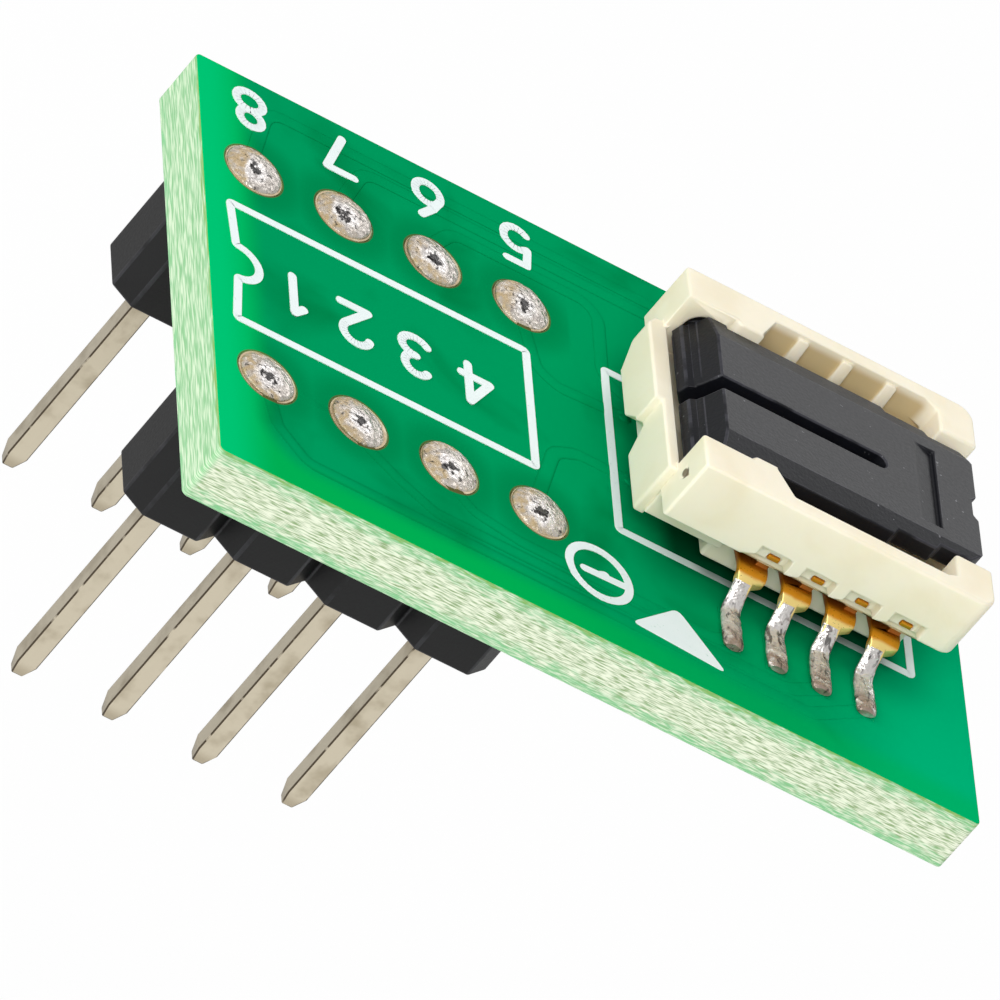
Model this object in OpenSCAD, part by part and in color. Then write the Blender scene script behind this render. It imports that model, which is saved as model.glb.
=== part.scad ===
// Adapter board: a hinged-lid socket for an 8-pad leadless package, wired to an 8-pin dual-in-line plug.
// The origin is the centre of the pin pattern on the underside of the header strips.
// +X runs along the board towards the socket, +Y to the rear row of pins, +Z up.

/* [Circuit board] */
// Length of the board along the pin rows
board_l = 21.4; // [20.8:0.1:26]
// Width of the board across the pin rows
board_w = 14.65; // [13:0.05:20]
// Thickness of the board
board_t = 1.6; // [0.8:0.1:2.4]
// Distance from the pin pattern's centre to the board's left edge
board_left = 5.27; // [5.1:0.01:5.8]
// Radius of the board's upright corners
board_corner_r = 0.15; // [0.05:0.05:1]
// Thickness of the copper, which lies flush in the board
copper_t = 0.05; // [0.03:0.01:0.1]

/* [Pin headers] */
// Distance between neighbouring pins
pin_pitch = 2.54; // [2.4:0.01:2.6]
// Distance between the two rows of pins
row_span = 7.62; // [6.5:0.01:9]
// Height of the plastic strip
strip_h = 2.54; // [1.5:0.01:4]
// Width of the plastic strip
strip_w = 2.5; // [1.8:0.01:2.8]
// Depth of the corner cuts that part the strip's segments
strip_notch = 0.52; // [0.2:0.01:0.7]
// Side of the square pins
pin_side = 0.53; // [0.45:0.01:0.66]
// Length of a pin below the plastic
pin_below = 6.3; // [3:0.1:9]
// Height of a pin's end above the board
pin_above = 0.12; // [0.12:0.01:0.3]
// Length of the taper at a pin's point
pin_taper_l = 0.45; // [0.3:0.05:1.5]
// Side of the flat end of a pin's point
pin_point_side = 0.3; // [0.15:0.01:0.4]

/* [Pin holes and solder] */
// Diameter of the drilled holes
drill_d = 1.1; // [1.08:0.01:1.3]
// Thickness of the plating in a hole
plating_t = 0.05; // [0.03:0.01:0.055]
// Diameter of the copper ring round a hole
ring_d = 1.62; // [1.55:0.01:2]
// Diameter of a solder joint on its ring
joint_d = 1.5; // [1.3:0.01:1.7]
// Height of a solder joint
joint_h = 0.1; // [0.06:0.01:0.12]
// Diameter at the top of a solder joint
joint_top_d = 0.5; // [0.44:0.01:0.6]
// Gap between metal and the round walls beside it
round_gap = 0.02; // [0.01:0.005:0.025]

/* [Package] */
// Distance from the socket's centre to the board's right edge
socket_edge = 5.09; // [4.9:0.01:5.3]
// Length of the package along its rows of pads
package_l = 5; // [4.8:0.05:5.1]
// Width of the package across its rows of pads
package_w = 6; // [5.8:0.05:6.1]
// Thickness of the package
package_t = 0.8; // [0.7:0.05:0.9]
// Distance between neighbouring contacts
contact_pitch = 1.27; // [1.2:0.01:1.3]
// Clearance round the package
package_gap = 0.05; // [0.02:0.01:0.1]

/* [Socket base] */
// Height of the base's top above the board
base_h = 3.2; // [3.05:0.05:3.6]
// Width of the base's upper frame
base_w = 7.36; // [7.2:0.02:8]
// Thickness of the side walls beside the package
wall_t = 0.45; // [0.35:0.01:0.5]
// Height of the side walls' lower edge above the board
skirt_z = 1.4; // [1.3:0.05:1.45]
// Height of the notches in the side walls' lower edge
skirt_notch_h = 0.42; // [0.3:0.01:0.5]
// Width of those notches
skirt_notch_w = 0.87; // [0.8:0.01:0.9]
// Depth of those notches
notch_depth = 0.28; // [0.2:0.01:0.3]
// Distance of a notch from the side of the contact's shoulder
notch_inset = 0.1; // [0.06:0.01:0.12]
// Rise of the slanted tooth before each notch
tooth_rise = 0.14; // [0.05:0.01:0.2]
// Length of that slant
tooth_slant_l = 0.35; // [0.2:0.01:0.38]
// Height of the package seat above the board
seat_z = 1.6; // [1.55:0.05:1.7]
// Thickness of the floor under the package
floor_t = 0.45; // [0.35:0.05:0.5]
// Distance of the floor's end from the posts' outer faces
floor_inset = 0.2; // [0.1:0.02:0.4]
// Height of the lower body's underside above the board
body_z = 0.25; // [0.1:0.05:0.4]
// Width of the lower body
body_w = 5.5; // [5.3:0.05:5.7]
// Height of the underside below the hinge above the board
belly_z = 0.7; // [0.4:0.05:0.9]
// Distance of the belly's sides from the lid's
belly_lap = 0.3; // [0.2:0.01:0.4]
// Length of the lower body beyond the package's pocket
body_lap = 0.25; // [0.15:0.01:0.3]
// Length of the hinge blocks
hinge_block_l = 2.14; // [2:0.02:2.2]
// Length of the bumps on the hinge blocks' inner faces
bump_l = 0.8; // [0.4:0.05:1]
// Height of those bumps
bump_t = 0.15; // [0.05:0.01:0.18]
// Length of the slanted corners beside the pocket
lead_in_l = 0.4; // [0.2:0.02:0.6]
// Length of the end posts
post_l = 1.06; // [1:0.02:1.2]
// Radius of the posts' outer corners
post_r = 0.45; // [0.1:0.05:0.6]
// Height of the end wall's top above the board
end_wall_z = 2.1; // [1.9:0.05:2.1]
// Thickness of the end wall
end_wall_t = 0.5; // [0.4:0.02:0.7]
// Depth of the step in the end wall's outer face
end_wall_step = 0.2; // [0.1:0.02:0.3]
// Place of that step across the socket
end_wall_step_y = -0.3; // [-1:0.05:0]
// Length of the cut corner at the end wall's rear end
end_wall_cut = 0.28; // [0.2:0.02:0.4]
// Height of the end wall's lower edge above the board
end_wall_foot_z = 0.85; // [0.7:0.05:1]
// Height of the front part's lower edge above the board
end_wall_low_z = 0.55; // [0.45:0.05:0.7]
// Height of the notch in the end wall's lower edge at the step
end_wall_notch_h = 0.36; // [0.2:0.02:0.5]
// Width of that notch at its top
end_wall_notch_w = 0.26; // [0.1:0.02:0.5]
// Length of each slanted side of that notch
end_wall_notch_l = 0.42; // [0.2:0.02:0.5]
// Length of the opening between the end wall and the belly
heel_window_l = 0.45; // [0.2:0.05:0.8]
// Distance of that opening from the hinge blocks
heel_window_in = 0.4; // [0.3:0.02:0.6]
// Thickness of the wall that the closed tab lies on
tail_wall_t = 0.4; // [0.3:0.02:0.6]
// Width of the guide ribs on the side walls
rib_w = 0.32; // [0.24:0.02:0.5]
// Depth of the ribs' tops below the walls' tops
rib_drop = 0.1; // [0.05:0.01:0.3]

/* [Contacts] */
// Thickness of the contact strip
contact_t = 0.15; // [0.1:0.01:0.18]
// Width of a contact's tail and foot
tail_w = 0.42; // [0.3:0.02:0.6]
// Width of a contact's shoulder, gripped by the base
shoulder_w = 0.9; // [0.8:0.02:0.94]
// Distance of the shoulder's middle to one side of the tail's
shoulder_shift = 0.12; // [0:0.01:0.15]
// Width of the lip where the shoulder bends down to the tail
lip_w = 0.78; // [0.7:0.01:0.8]
// Length of the neck between lip and tail
neck_l = 0.1; // [0.05:0.01:0.2]
// Length of the bends in the tail
tail_bend_l = 0.2; // [0.1:0.02:0.3]
// Width of the lug that shows beside each contact
lug_w = 0.32; // [0.2:0.01:0.34]
// Thickness of that lug
lug_t = 0.15; // [0.1:0.01:0.18]
// Height of the lug's part that shows
lug_show_h = 0.14; // [0.1:0.01:0.18]
// Length of the shoulder inside the base
grip_l = 0.75; // [0.5:0.05:0.9]
// Width of a contact's spring beam
beam_w = 0.38; // [0.25:0.01:0.45]
// Clearance round a spring beam
beam_gap = 0.1; // [0.05:0.01:0.12]
// Height of the shoulder's middle above the board
shoulder_z = 0.92; // [0.85:0.01:0.95]
// Distance from the socket's middle to the end of a foot
foot_end = 5.32; // [5.2:0.02:5.6]
// Length of a foot
foot_l = 1.26; // [1.1:0.02:1.4]
// Distance from the socket's middle to the bend of the shoulder
shoulder_end = 3.5; // [3.4:0.01:3.6]
// Radius of the spring's bend
spring_r = 0.22; // [0.18:0.01:0.24]
// Distance from the grip to the spring's bend
spring_back = 0.75; // [0.4:0.05:0.9]
// Height of a free spring's tip above the seat
spring_lift = 0.2; // [0.1:0.02:0.3]
// Distance of a spring's tip inside the package's side
pad_reach = 0.35; // [0.3:0.01:0.5]
// Height of a foot's solder above the board
foot_solder_h = 0.22; // [0.19:0.01:0.3]
// Width of a foot's solder beyond each side of the foot
foot_solder_side = 0.06; // [0.04:0.01:0.2]
// Length of a pad beyond each end of the foot
pad_margin = 0.08; // [0.05:0.01:0.25]

/* [Lid] */
// Depth of the lid's top below the base's top
lid_drop = 0.1; // [0:0.02:0.2]
// Width of the lid between the hinge blocks
lid_w = 4.7; // [4.5:0.02:4.8]
// Side play between the lid and the hinge blocks
lid_play = 0.21; // [0.2:0.01:0.3]
// Width of the flat part of the lid's top
lid_flat_w = 3.48; // [3:0.02:4]
// Height of the bevels along the lid's sides
lid_bevel_h = 0.13; // [0.05:0.01:0.3]
// Distance from the socket's middle to the lid's first step
lid_step_x = 0.96; // [0.5:0.02:1.5]
// Distance from the socket's middle to the tab's step
tab_x = 2.16; // [1.8:0.02:2.2]
// Width of the lid's tab between the posts
tab_w = 4; // [3.6:0.02:4.1]
// Side play between the tab and the posts
tab_play = 0.27; // [0.1:0.01:0.4]
// Distance from the socket's middle to the tab's end
tab_end = 3.46; // [3.4:0.02:3.8]
// Length of the tab's cut corners
tab_cut = 0.3; // [0.1:0.02:0.5]
// Width of the notch in the tab's end
tab_notch_w = 0.8; // [0.4:0.02:1.2]
// Depth of the notch in the tab's end
tab_notch_t = 0.12; // [0.05:0.01:0.2]
// Width of the flexing slot
slot_w = 0.45; // [0.3:0.01:0.6]
// Distance from the socket's middle to the slot's round end
slot_end = 0.61; // [0:0.05:1]
// Distance from the socket's middle to the finger recess's step
recess_x = 2.31; // [2:0.01:2.6]
// Length of the finger recess
recess_l = 0.6; // [0.4:0.02:1]
// Width of the finger recess
recess_w = 2.8; // [2:0.02:3.4]
// Depth of the finger recess
recess_depth = 0.13; // [0.05:0.01:0.2]
// Length of the pad that presses on the package
presser_l = 3.8; // [3:0.05:4]
// Width of the pad that presses on the package
presser_w = 3.4; // [2.8:0.05:3.8]
// Height of that pad below the lid's plate
plate_relief = 0.15; // [0.05:0.01:0.2]
// Gap between the closed tab and the wall below it
lid_rest_gap = 0.03; // [0.02:0.01:0.1]

/* [Hinge] */
// Distance from the socket's middle to the hinge axis
hinge_x = 3.84; // [3.8:0.01:3.9]
// Height of the hinge axis above the board
hinge_z = 2.35; // [2.3:0.01:2.4]
// Diameter of the lid's trunnions
trunnion_d = 0.8; // [0.6:0.02:0.86]
// Radial clearance of the trunnions
trunnion_gap = 0.05; // [0.02:0.01:0.09]
// Length of a trunnion inside its bore
trunnion_grip = 0.55; // [0.3:0.02:0.65]
// Length of the lid's heel behind the hinge axis
heel_l = 0.65; // [0.6:0.01:0.7]
// Drop of the heel's end below the hinge axis
heel_drop = 0.26; // [0.2:0.01:0.3]
// Side play between the lid's hub and the hinge blocks
hub_play = 0.05; // [0.03:0.01:0.1]
// Length of the lid's hub before the hinge axis
hub_l = 0.38; // [0.3:0.01:0.4]
// Height of the hub's front lower edge above the hinge axis
hub_rise = 0.2; // [0.1:0.01:0.25]
// Clearance round the swinging heel
heel_gap = 0.08; // [0.05:0.01:0.1]

/* [Hidden] */
$fn = 48;
pins_per_row = 4;
pin_count = 2 * pins_per_row;
contacts_per_side = 4;
contact_count = 2 * contacts_per_side;

function numbered(name, count) = [for (i = [1:count]) str(name, "_", i)];

mask_green = [0.02, 0.66, 0.4];
copper_gold = [0.86, 0.68, 0.3];
strip_black = [0.13, 0.13, 0.14];
pin_silver = [0.8, 0.79, 0.74];
solder_grey = [0.75, 0.76, 0.77];
base_ivory = [0.93, 0.9, 0.8];
lid_grey = [0.26, 0.26, 0.28];
through = 1;
sink = 0.05;
tip_hook = 0.22;
lid_slant = 0.1;

// Corners of the lid's bevelled heel as [distance behind the hinge axis, height above it]
heel_corners = [[0.56, 0.02], [0.38, 0.1]];
heel_top_l = 0.05;
heel_web_l = 0.9;

// Small three-sided pit in a hinge block's end face
pit_r = 0.16;
pit_depth = 0.2;

socket_x = board_l - board_left - socket_edge;

// Heights of the board's faces above the origin
board_z = strip_h;
board_top = board_z + board_t;

// Socket heights above the board
floor_z = seat_z - floor_t;
package_top = seat_z + package_t;
lid_top = base_h - lid_drop;
plate_z = package_top + plate_relief;
heel_swing = norm([heel_l, heel_drop]) + heel_gap;
belly_top = hinge_z - heel_swing - sink;

// Socket places along X from the socket's middle
pocket_x = package_l / 2 + package_gap;
base_left = -pocket_x - hinge_block_l;
base_right = pocket_x + post_l;
end_wall_in = -hinge_x - heel_swing;
end_wall_out = end_wall_in - end_wall_t;

// Socket places along Y from the socket's middle
wall_out = base_w / 2;
wall_in = wall_out - wall_t;
rib_in = package_w / 2 + package_gap;
block_in = lid_w / 2 + lid_play;
hub_out = block_in - hub_play;
post_in = tab_w / 2 + tab_play;
body_y = body_w / 2;
bore_end = block_in + trunnion_grip + trunnion_gap;

// Contact path points as [y, z], from the foot's end to the spring's tip
foot_heel = foot_end - foot_l;
grip_end = body_y - grip_l;
bend_y = grip_end - spring_back;
tip_y = package_w / 2 - pad_reach;
tip_z = seat_z + spring_lift - contact_t / 2;
tail_corners = [
    [-foot_end, contact_t / 2],
    [-foot_heel, contact_t / 2],
    [-shoulder_end, shoulder_z],
    [-grip_end, shoulder_z]
];
function unit(v) = v / norm(v);
function bend(path, i, l) = let (
    before = path[i] + l * unit(path[i - 1] - path[i]),
    after = path[i] + l * unit(path[i + 1] - path[i])
) [
    for (t = [0:0.25:1])
        (1 - t) * ((1 - t) * before + t * path[i]) + t * ((1 - t) * path[i] + t * after)
];
tail_path = concat(
    [tail_corners[0]],
    bend(tail_corners, 1, tail_bend_l),
    bend(tail_corners, 2, tail_bend_l),
    [tail_corners[3]]
);
beam_path = concat(
    [[-grip_end - sink, shoulder_z]],
    [for (a = [-90:20:90]) [-bend_y, shoulder_z + spring_r] + spring_r * [cos(a), sin(a)]],
    [[-tip_y, tip_z], [-tip_y - tip_hook, tip_z - tip_hook / 2]]
);

// Shoulder, notch and lug of one contact along X from its tail's middle
shoulder_x = [shoulder_shift - shoulder_w / 2, shoulder_shift + shoulder_w / 2];
lip_x = [shoulder_shift - lip_w / 2, shoulder_shift + lip_w / 2];
notch_x = [shoulder_x[0] + notch_inset, shoulder_x[0] + notch_inset + skirt_notch_w];
lug_x = [shoulder_shift + sink, shoulder_shift + sink + lug_w];

// The lug rises inside the floor's edge and shows in a window at the notch's back
notch_back = wall_out - notch_depth;
lug_y = [wall_in - sink / 2 - lug_t, wall_in - sink / 2];
lug_top = seat_z - sink;

function pin_x(i) =
    (min(i, pin_count + 1 - i) - (pins_per_row + 1) / 2) * pin_pitch;
function pin_y(i) = (i > pins_per_row ? 1 : -1) * row_span / 2;
function contact_x(i) =
    (min(i, contact_count + 1 - i) - (contacts_per_side + 1) / 2) * contact_pitch;

// Outline of a strip of even thickness along a path
function side_of(path, i) = let (d = unit(path[i + 1] - path[i])) [-d[1], d[0]];
function side_point(path, i, d) =
    let (
        before = side_of(path, max(i - 1, 0)),
        after = side_of(path, min(i, len(path) - 2)),
        mitre = unit(before + after)
    )
    path[i] + mitre * d / (mitre * before);
function strip_outline(path, t) = concat(
    [for (i = [0:len(path) - 1]) side_point(path, i, t / 2)],
    [for (i = [len(path) - 1:-1:0]) side_point(path, i, -t / 2)]
);

// A box between two limits on each axis
module box(x, y, z) {
    translate([x[0], y[0], z[0]])
        cube([x[1] - x[0], y[1] - y[0], z[1] - z[0]]);
}

// A Y-Z outline drawn out along X, centred
module along_x(width) {
    rotate([90, 0, 90])
        translate([0, 0, -width / 2])
            linear_extrude(width)
                children();
}

// An X-Z outline drawn out along Y, centred
module along_y(width) {
    rotate([90, 0, 0])
        translate([0, 0, -width / 2])
            linear_extrude(width)
                children();
}

// An X-Y outline drawn out between two heights
module upright(z) {
    translate([0, 0, z[0]])
        linear_extrude(z[1] - z[0])
            children();
}

module both_sides() {
    children();
    mirror([0, 1, 0])
        children();
}

module at_pin(i) {
    translate([pin_x(i), pin_y(i), 0])
        children();
}

// Socket pieces stand on the board's upper face, about the socket's middle
module at_socket() {
    translate([socket_x, 0, board_top])
        children();
}

// The rear contacts are the front ones turned half round
module at_contact(i) {
    translate([contact_x(i), 0, 0])
        rotate(i > contacts_per_side ? 180 : 0)
            children();
}

module rounded_plate(l, w, r) {
    square([l - 2 * r, w], center = true);
    square([l, w - 2 * r], center = true);
    for (x = [-1, 1], y = [-1, 1])
        translate([x * (l / 2 - r), y * (w / 2 - r)])
            circle(r);
}

// A drilled hole with the shallow seats of its two copper rings
module hole_cut() {
    translate([0, 0, board_z - through])
        cylinder(d = drill_d, h = board_t + 2 * through);
    for (z = [board_z - through, board_top - copper_t])
        translate([0, 0, z])
            cylinder(d = ring_d, h = copper_t + through);
}

module pad_box(top) {
    half = tail_w / 2 + foot_solder_side;
    box([-half, half], [-foot_end - pad_margin, -foot_heel + pad_margin], [-copper_t, top]);
}

module circuit_board() {
    color(mask_green)
        difference() {
            translate([board_l / 2 - board_left, 0, 0])
                upright([board_z, board_top])
                    rounded_plate(board_l, board_w, board_corner_r);
            for (i = [1:pin_count])
                at_pin(i)
                    hole_cut();
            for (i = [1:contact_count])
                at_socket()
                    at_contact(i)
                        pad_box(through);
        }
}

module plated_hole(i) {
    barrel_out = drill_d / 2 - round_gap;
    barrel_in = barrel_out - plating_t;
    ring_out = ring_d / 2 - round_gap;
    color(copper_gold)
        at_pin(i)
            rotate_extrude()
                polygon([
                    [barrel_in, board_z],
                    [ring_out, board_z],
                    [ring_out, board_z + copper_t],
                    [barrel_out, board_z + copper_t],
                    [barrel_out, board_top - copper_t],
                    [ring_out, board_top - copper_t],
                    [ring_out, board_top],
                    [barrel_in, board_top]
                ]);
}

// Plan of one strip segment: a square with its corners cut off
module strip_segment() {
    x = pin_pitch / 2;
    y = strip_w / 2;
    n = strip_notch;
    polygon([
        [x - n, -y], [x, n - y], [x, y - n], [x - n, y],
        [n - x, y], [-x, y - n], [-x, n - y], [n - x, -y]
    ]);
}

module header_strip(y) {
    color(strip_black)
        translate([0, y, 0])
            difference() {
                upright([0, strip_h])
                    for (i = [1:pins_per_row])
                        translate([pin_x(i), 0])
                            strip_segment();
                for (i = [1:pins_per_row])
                    translate([pin_x(i), 0, strip_h / 2])
                        cube([pin_side, pin_side, strip_h + through], center = true);
            }
}

module pin_profile() {
    half = pin_side / 2;
    point = pin_point_side / 2;
    polygon([
        [-point, -pin_below],
        [point, -pin_below],
        [half, pin_taper_l - pin_below],
        [half, board_top],
        [point, board_top + pin_above],
        [-point, board_top + pin_above],
        [-half, board_top],
        [-half, pin_taper_l - pin_below]
    ]);
}

module pin_solid() {
    intersection() {
        along_x(pin_side)
            pin_profile();
        along_y(pin_side)
            pin_profile();
    }
}

module header_pin(i) {
    color(pin_silver)
        at_pin(i)
            pin_solid();
}

// Solder fills the hole round the pin and rises to a low dome
module pin_solder(i) {
    core_r = drill_d / 2 - plating_t - 2 * round_gap;
    base_r = joint_d / 2;
    top_r = joint_top_d / 2;
    dome = [
        for (a = [0:22.5:90])
            [top_r + (base_r - top_r) * cos(a), board_top + joint_h * sin(a)]
    ];
    color(solder_grey)
        at_pin(i)
            difference() {
                rotate_extrude()
                    polygon(concat(
                        [[0, board_z], [core_r, board_z], [core_r, board_top]],
                        dome,
                        [[0, board_top + joint_h]]
                    ));
                pin_solid();
            }
}

module contact_pad(i) {
    color(copper_gold)
        at_socket()
            at_contact(i)
                pad_box(0);
}

// Plan of the strip from its grip in the base: shoulder, lip, neck and tail
module contact_plan() {
    tail = tail_w / 2;
    lip_y = shoulder_end + contact_t / 2;
    neck_y = lip_y + neck_l;
    polygon([
        [shoulder_x[0], -grip_end],
        [shoulder_x[0], -body_y],
        [lip_x[0], -lip_y],
        [-tail, -neck_y],
        [-tail, -foot_end],
        [tail, -foot_end],
        [tail, -neck_y],
        [lip_x[1], -lip_y],
        [shoulder_x[1], -body_y],
        [shoulder_x[1], -grip_end]
    ]);
}

// Lug with its outer end bent to the window, grown by a gap to cut its room in the base
module lug(gap) {
    x = [lug_x[0] - gap, lug_x[1] + gap];
    box(x, [-lug_y[1] - gap, -lug_y[0] + gap], [shoulder_z, lug_top + gap]);
    box(x, [-notch_back - gap, -lug_y[0] + gap], [lug_top - lug_show_h - gap, lug_top + gap]);
}

module contact_solid() {
    intersection() {
        along_x(2 * shoulder_w)
            polygon(strip_outline(tail_path, contact_t));
        upright([-contact_t, shoulder_z + contact_t])
            contact_plan();
    }
    along_x(beam_w)
        polygon(strip_outline(beam_path, contact_t));
    lug(0);
}

module contact(i) {
    color(copper_gold)
        at_socket()
            at_contact(i)
                contact_solid();
}

// A low mound of solder round the foot
module contact_solder(i) {
    foot_half = tail_w / 2;
    mound_half = foot_half + foot_solder_side;
    toe = foot_end + pad_margin;
    heel = foot_heel - pad_margin;
    color(solder_grey)
        at_socket()
            at_contact(i)
                difference() {
                    intersection() {
                        along_y(4 * foot_end)
                            polygon([
                                [-mound_half, 0],
                                [mound_half, 0],
                                [foot_half, foot_solder_h],
                                [-foot_half, foot_solder_h]
                            ]);
                        along_x(2 * mound_half)
                            polygon([
                                [-toe, 0],
                                [-heel, 0],
                                [-foot_heel, foot_solder_h],
                                [-foot_end, foot_solder_h]
                            ]);
                    }
                    contact_solid();
                }
}

// Notch in the side wall before one contact, with the slanted tooth beside it
module skirt_notch() {
    front = wall_out + through;
    top = skirt_z + skirt_notch_h;
    translate([0, -(front + notch_back) / 2, 0])
        along_y(front - notch_back)
            polygon([
                [notch_x[0] - tooth_slant_l, 0],
                [notch_x[0] - tooth_slant_l, skirt_z],
                [notch_x[0], skirt_z + tooth_rise],
                [notch_x[0], top],
                [notch_x[1], top],
                [notch_x[1], 0]
            ]);
}

// Room for one contact in the base: grip slot, spring cavity, beam slot, lug slit and wall notch
module contact_cut() {
    beam_half = beam_w / 2 + beam_gap;
    cavity_end = bend_y - spring_r - contact_t / 2 - beam_gap;
    beam_end = tip_y + tip_hook + beam_gap;
    box(
        shoulder_x,
        [-wall_out, -grip_end],
        [shoulder_z - contact_t / 2, shoulder_z + contact_t / 2]
    );
    box(
        [-beam_half, beam_half],
        [-grip_end - sink, -cavity_end],
        [shoulder_z - contact_t / 2 - beam_gap, seat_z + through]
    );
    box([-beam_half, beam_half], [-beam_end, -grip_end], [shoulder_z, seat_z + through]);
    lug(round_gap);
    skirt_notch();
}

// Plan of one hinge block, with the bump on its inner face
module hinge_block_plan() {
    bump_x = -pocket_x - bump_l;
    polygon([
        [base_left, wall_out],
        [base_left, block_in],
        [bump_x, block_in],
        [bump_x + bump_t, block_in - bump_t],
        [-pocket_x, block_in - bump_t],
        [-pocket_x, wall_out]
    ]);
}

// Plan of one end post, with its outer corner rounded
module post_plan() {
    difference() {
        translate([pocket_x, post_in])
            square([post_l, wall_out - post_in]);
        translate([base_right - post_r, wall_out - post_r])
            square(post_r + through);
    }
    translate([base_right - post_r, wall_out - post_r])
        circle(post_r);
}

// Slanted corner between the pocket's end and the thin wall, above the package
module lead_in(y) {
    upright([package_top + package_gap, base_h])
        polygon([
            [-pocket_x - sink, y],
            [-pocket_x, y],
            [-pocket_x + lead_in_l, wall_in],
            [-pocket_x + lead_in_l, wall_in + sink],
            [-pocket_x - sink, wall_in + sink]
        ]);
}

module guide_rib() {
    along_x(rib_w)
        polygon([
            [rib_in, floor_z],
            [rib_in, package_top],
            [(rib_in + wall_in) / 2, base_h - rib_drop],
            [wall_in + sink, base_h - rib_drop],
            [wall_in + sink, floor_z]
        ]);
}

// Hinge blocks, thin walls with guide ribs, and posts
module upper_frame() {
    both_sides() {
        upright([skirt_z, base_h])
            hinge_block_plan();
        upright([skirt_z, base_h])
            post_plan();
        box([-pocket_x - sink, pocket_x + sink], [wall_in, wall_out], [skirt_z, base_h]);
        lead_in(block_in);
        mirror([1, 0, 0])
            lead_in(rib_in);
        for (x = [-contact_pitch, 0, contact_pitch])
            translate([x, 0, 0])
                guide_rib();
    }
}

// Outline of the notch under the end wall, seen along the socket
module end_wall_notch() {
    half = end_wall_notch_w / 2;
    foot = half + end_wall_notch_l;
    translate([end_wall_step_y, 0])
        polygon([
            [-foot, 0],
            [-foot, end_wall_low_z],
            [-half, end_wall_foot_z + end_wall_notch_h],
            [half, end_wall_foot_z + end_wall_notch_h],
            [foot, end_wall_foot_z],
            [foot, 0]
        ]);
}

// Low wall at the hinge end: the front part is set back and lower, the rear end is cut away below
module end_wall() {
    step_x = end_wall_out + end_wall_step;
    rear_cut = body_y - end_wall_cut;
    slope_l = end_wall_t;
    difference() {
        union() {
            upright([end_wall_foot_z, end_wall_z])
                polygon([
                    [end_wall_in, end_wall_step_y],
                    [end_wall_in, body_y],
                    [step_x, body_y],
                    [end_wall_out, rear_cut],
                    [end_wall_out, end_wall_step_y]
                ]);
            box([step_x, end_wall_in], [-body_y, end_wall_step_y + sink], [end_wall_low_z, end_wall_z]);
        }
        translate([end_wall_in, 0, 0])
            along_x(2 * (end_wall_t + through)) {
                polygon([
                    [rear_cut - slope_l, 0],
                    [rear_cut - slope_l, end_wall_foot_z + 2 * sink],
                    [rear_cut, belly_top - 2 * sink],
                    [body_y + through, belly_top - 2 * sink],
                    [body_y + through, 0]
                ]);
                end_wall_notch();
            }
    }
}

// Floor under the package, the narrower body below it and the belly under the hinge
module lower_body() {
    floor_right = base_right - floor_inset;
    belly_y = block_in + belly_lap;
    window_y = block_in - heel_window_in;
    box([-pocket_x - sink, floor_right], [-wall_in - sink, wall_in + sink], [floor_z, seat_z]);
    box([-pocket_x - body_lap, pocket_x + body_lap], [-body_y, body_y], [body_z, floor_z + sink]);
    difference() {
        box([end_wall_in - sink, -pocket_x], [-belly_y, belly_y], [belly_z, belly_top]);
        box(
            [end_wall_in, end_wall_in + heel_window_l],
            [-window_y, window_y],
            [0, belly_top + through]
        );
    }
    box(
        [floor_right - tail_wall_t, floor_right],
        [-post_in - sink, post_in + sink],
        [floor_z, plate_z - lid_rest_gap]
    );
}

// Blind bores for the lid's trunnions
module hinge_bores() {
    translate([-hinge_x, 0, hinge_z])
        rotate([90, 0, 0])
            cylinder(r = trunnion_d / 2 + trunnion_gap, h = 2 * bore_end, center = true);
}

module end_pit() {
    translate([base_left - pit_depth, (-wall_out - block_in) / 2, hinge_z])
        rotate([0, 90, 0])
            cylinder(r = pit_r, h = 2 * pit_depth, $fn = 3);
}

module socket_base() {
    color(base_ivory)
        at_socket()
            difference() {
                union() {
                    upper_frame();
                    end_wall();
                    lower_body();
                }
                for (i = [1:contact_count])
                    at_contact(i)
                        contact_cut();
                hinge_bores();
                end_pit();
            }
}

// Side view of the lid: bevelled heel at the hinge, flat plate and tab
module lid_profile() {
    heel_low = heel_l - 2 * sink;
    polygon([
        [-hinge_x - heel_l, hinge_z - heel_drop],
        [-hinge_x - heel_corners[0][0], hinge_z + heel_corners[0][1]],
        [-hinge_x - heel_corners[1][0], hinge_z + heel_corners[1][1]],
        [-hinge_x - heel_top_l, lid_top],
        [tab_end, lid_top],
        [tab_end, plate_z],
        [-hinge_x + heel_web_l, plate_z],
        [-hinge_x + heel_low, hinge_z - heel_low],
        [-hinge_x - heel_corners[1][0], hinge_z - heel_low]
    ]);
}

// Side view of the hub, the lid's wider part between the hinge blocks
module hub_profile() {
    polygon([
        [-hinge_x - heel_l, hinge_z - heel_drop],
        [-hinge_x - heel_corners[0][0], hinge_z + heel_corners[0][1]],
        [-hinge_x - heel_corners[1][0], hinge_z + heel_corners[1][1]],
        [-hinge_x - heel_top_l, lid_top],
        [-hinge_x + hub_l, lid_top],
        [-hinge_x + hub_l, hinge_z + hub_rise],
        [-hinge_x + hub_l - hub_rise, hinge_z - heel_drop]
    ]);
}

// Cross-section of the lid, with a shallow bevel along both sides of its top
module lid_section() {
    bevel_w = (lid_w - lid_flat_w) / 2;
    side_z = lid_top - lid_bevel_h * (hub_out - lid_flat_w / 2) / bevel_w;
    polygon([
        [-hub_out, 0],
        [-hub_out, side_z],
        [-lid_flat_w / 2, lid_top],
        [lid_flat_w / 2, lid_top],
        [hub_out, side_z],
        [hub_out, 0]
    ]);
}

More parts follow.
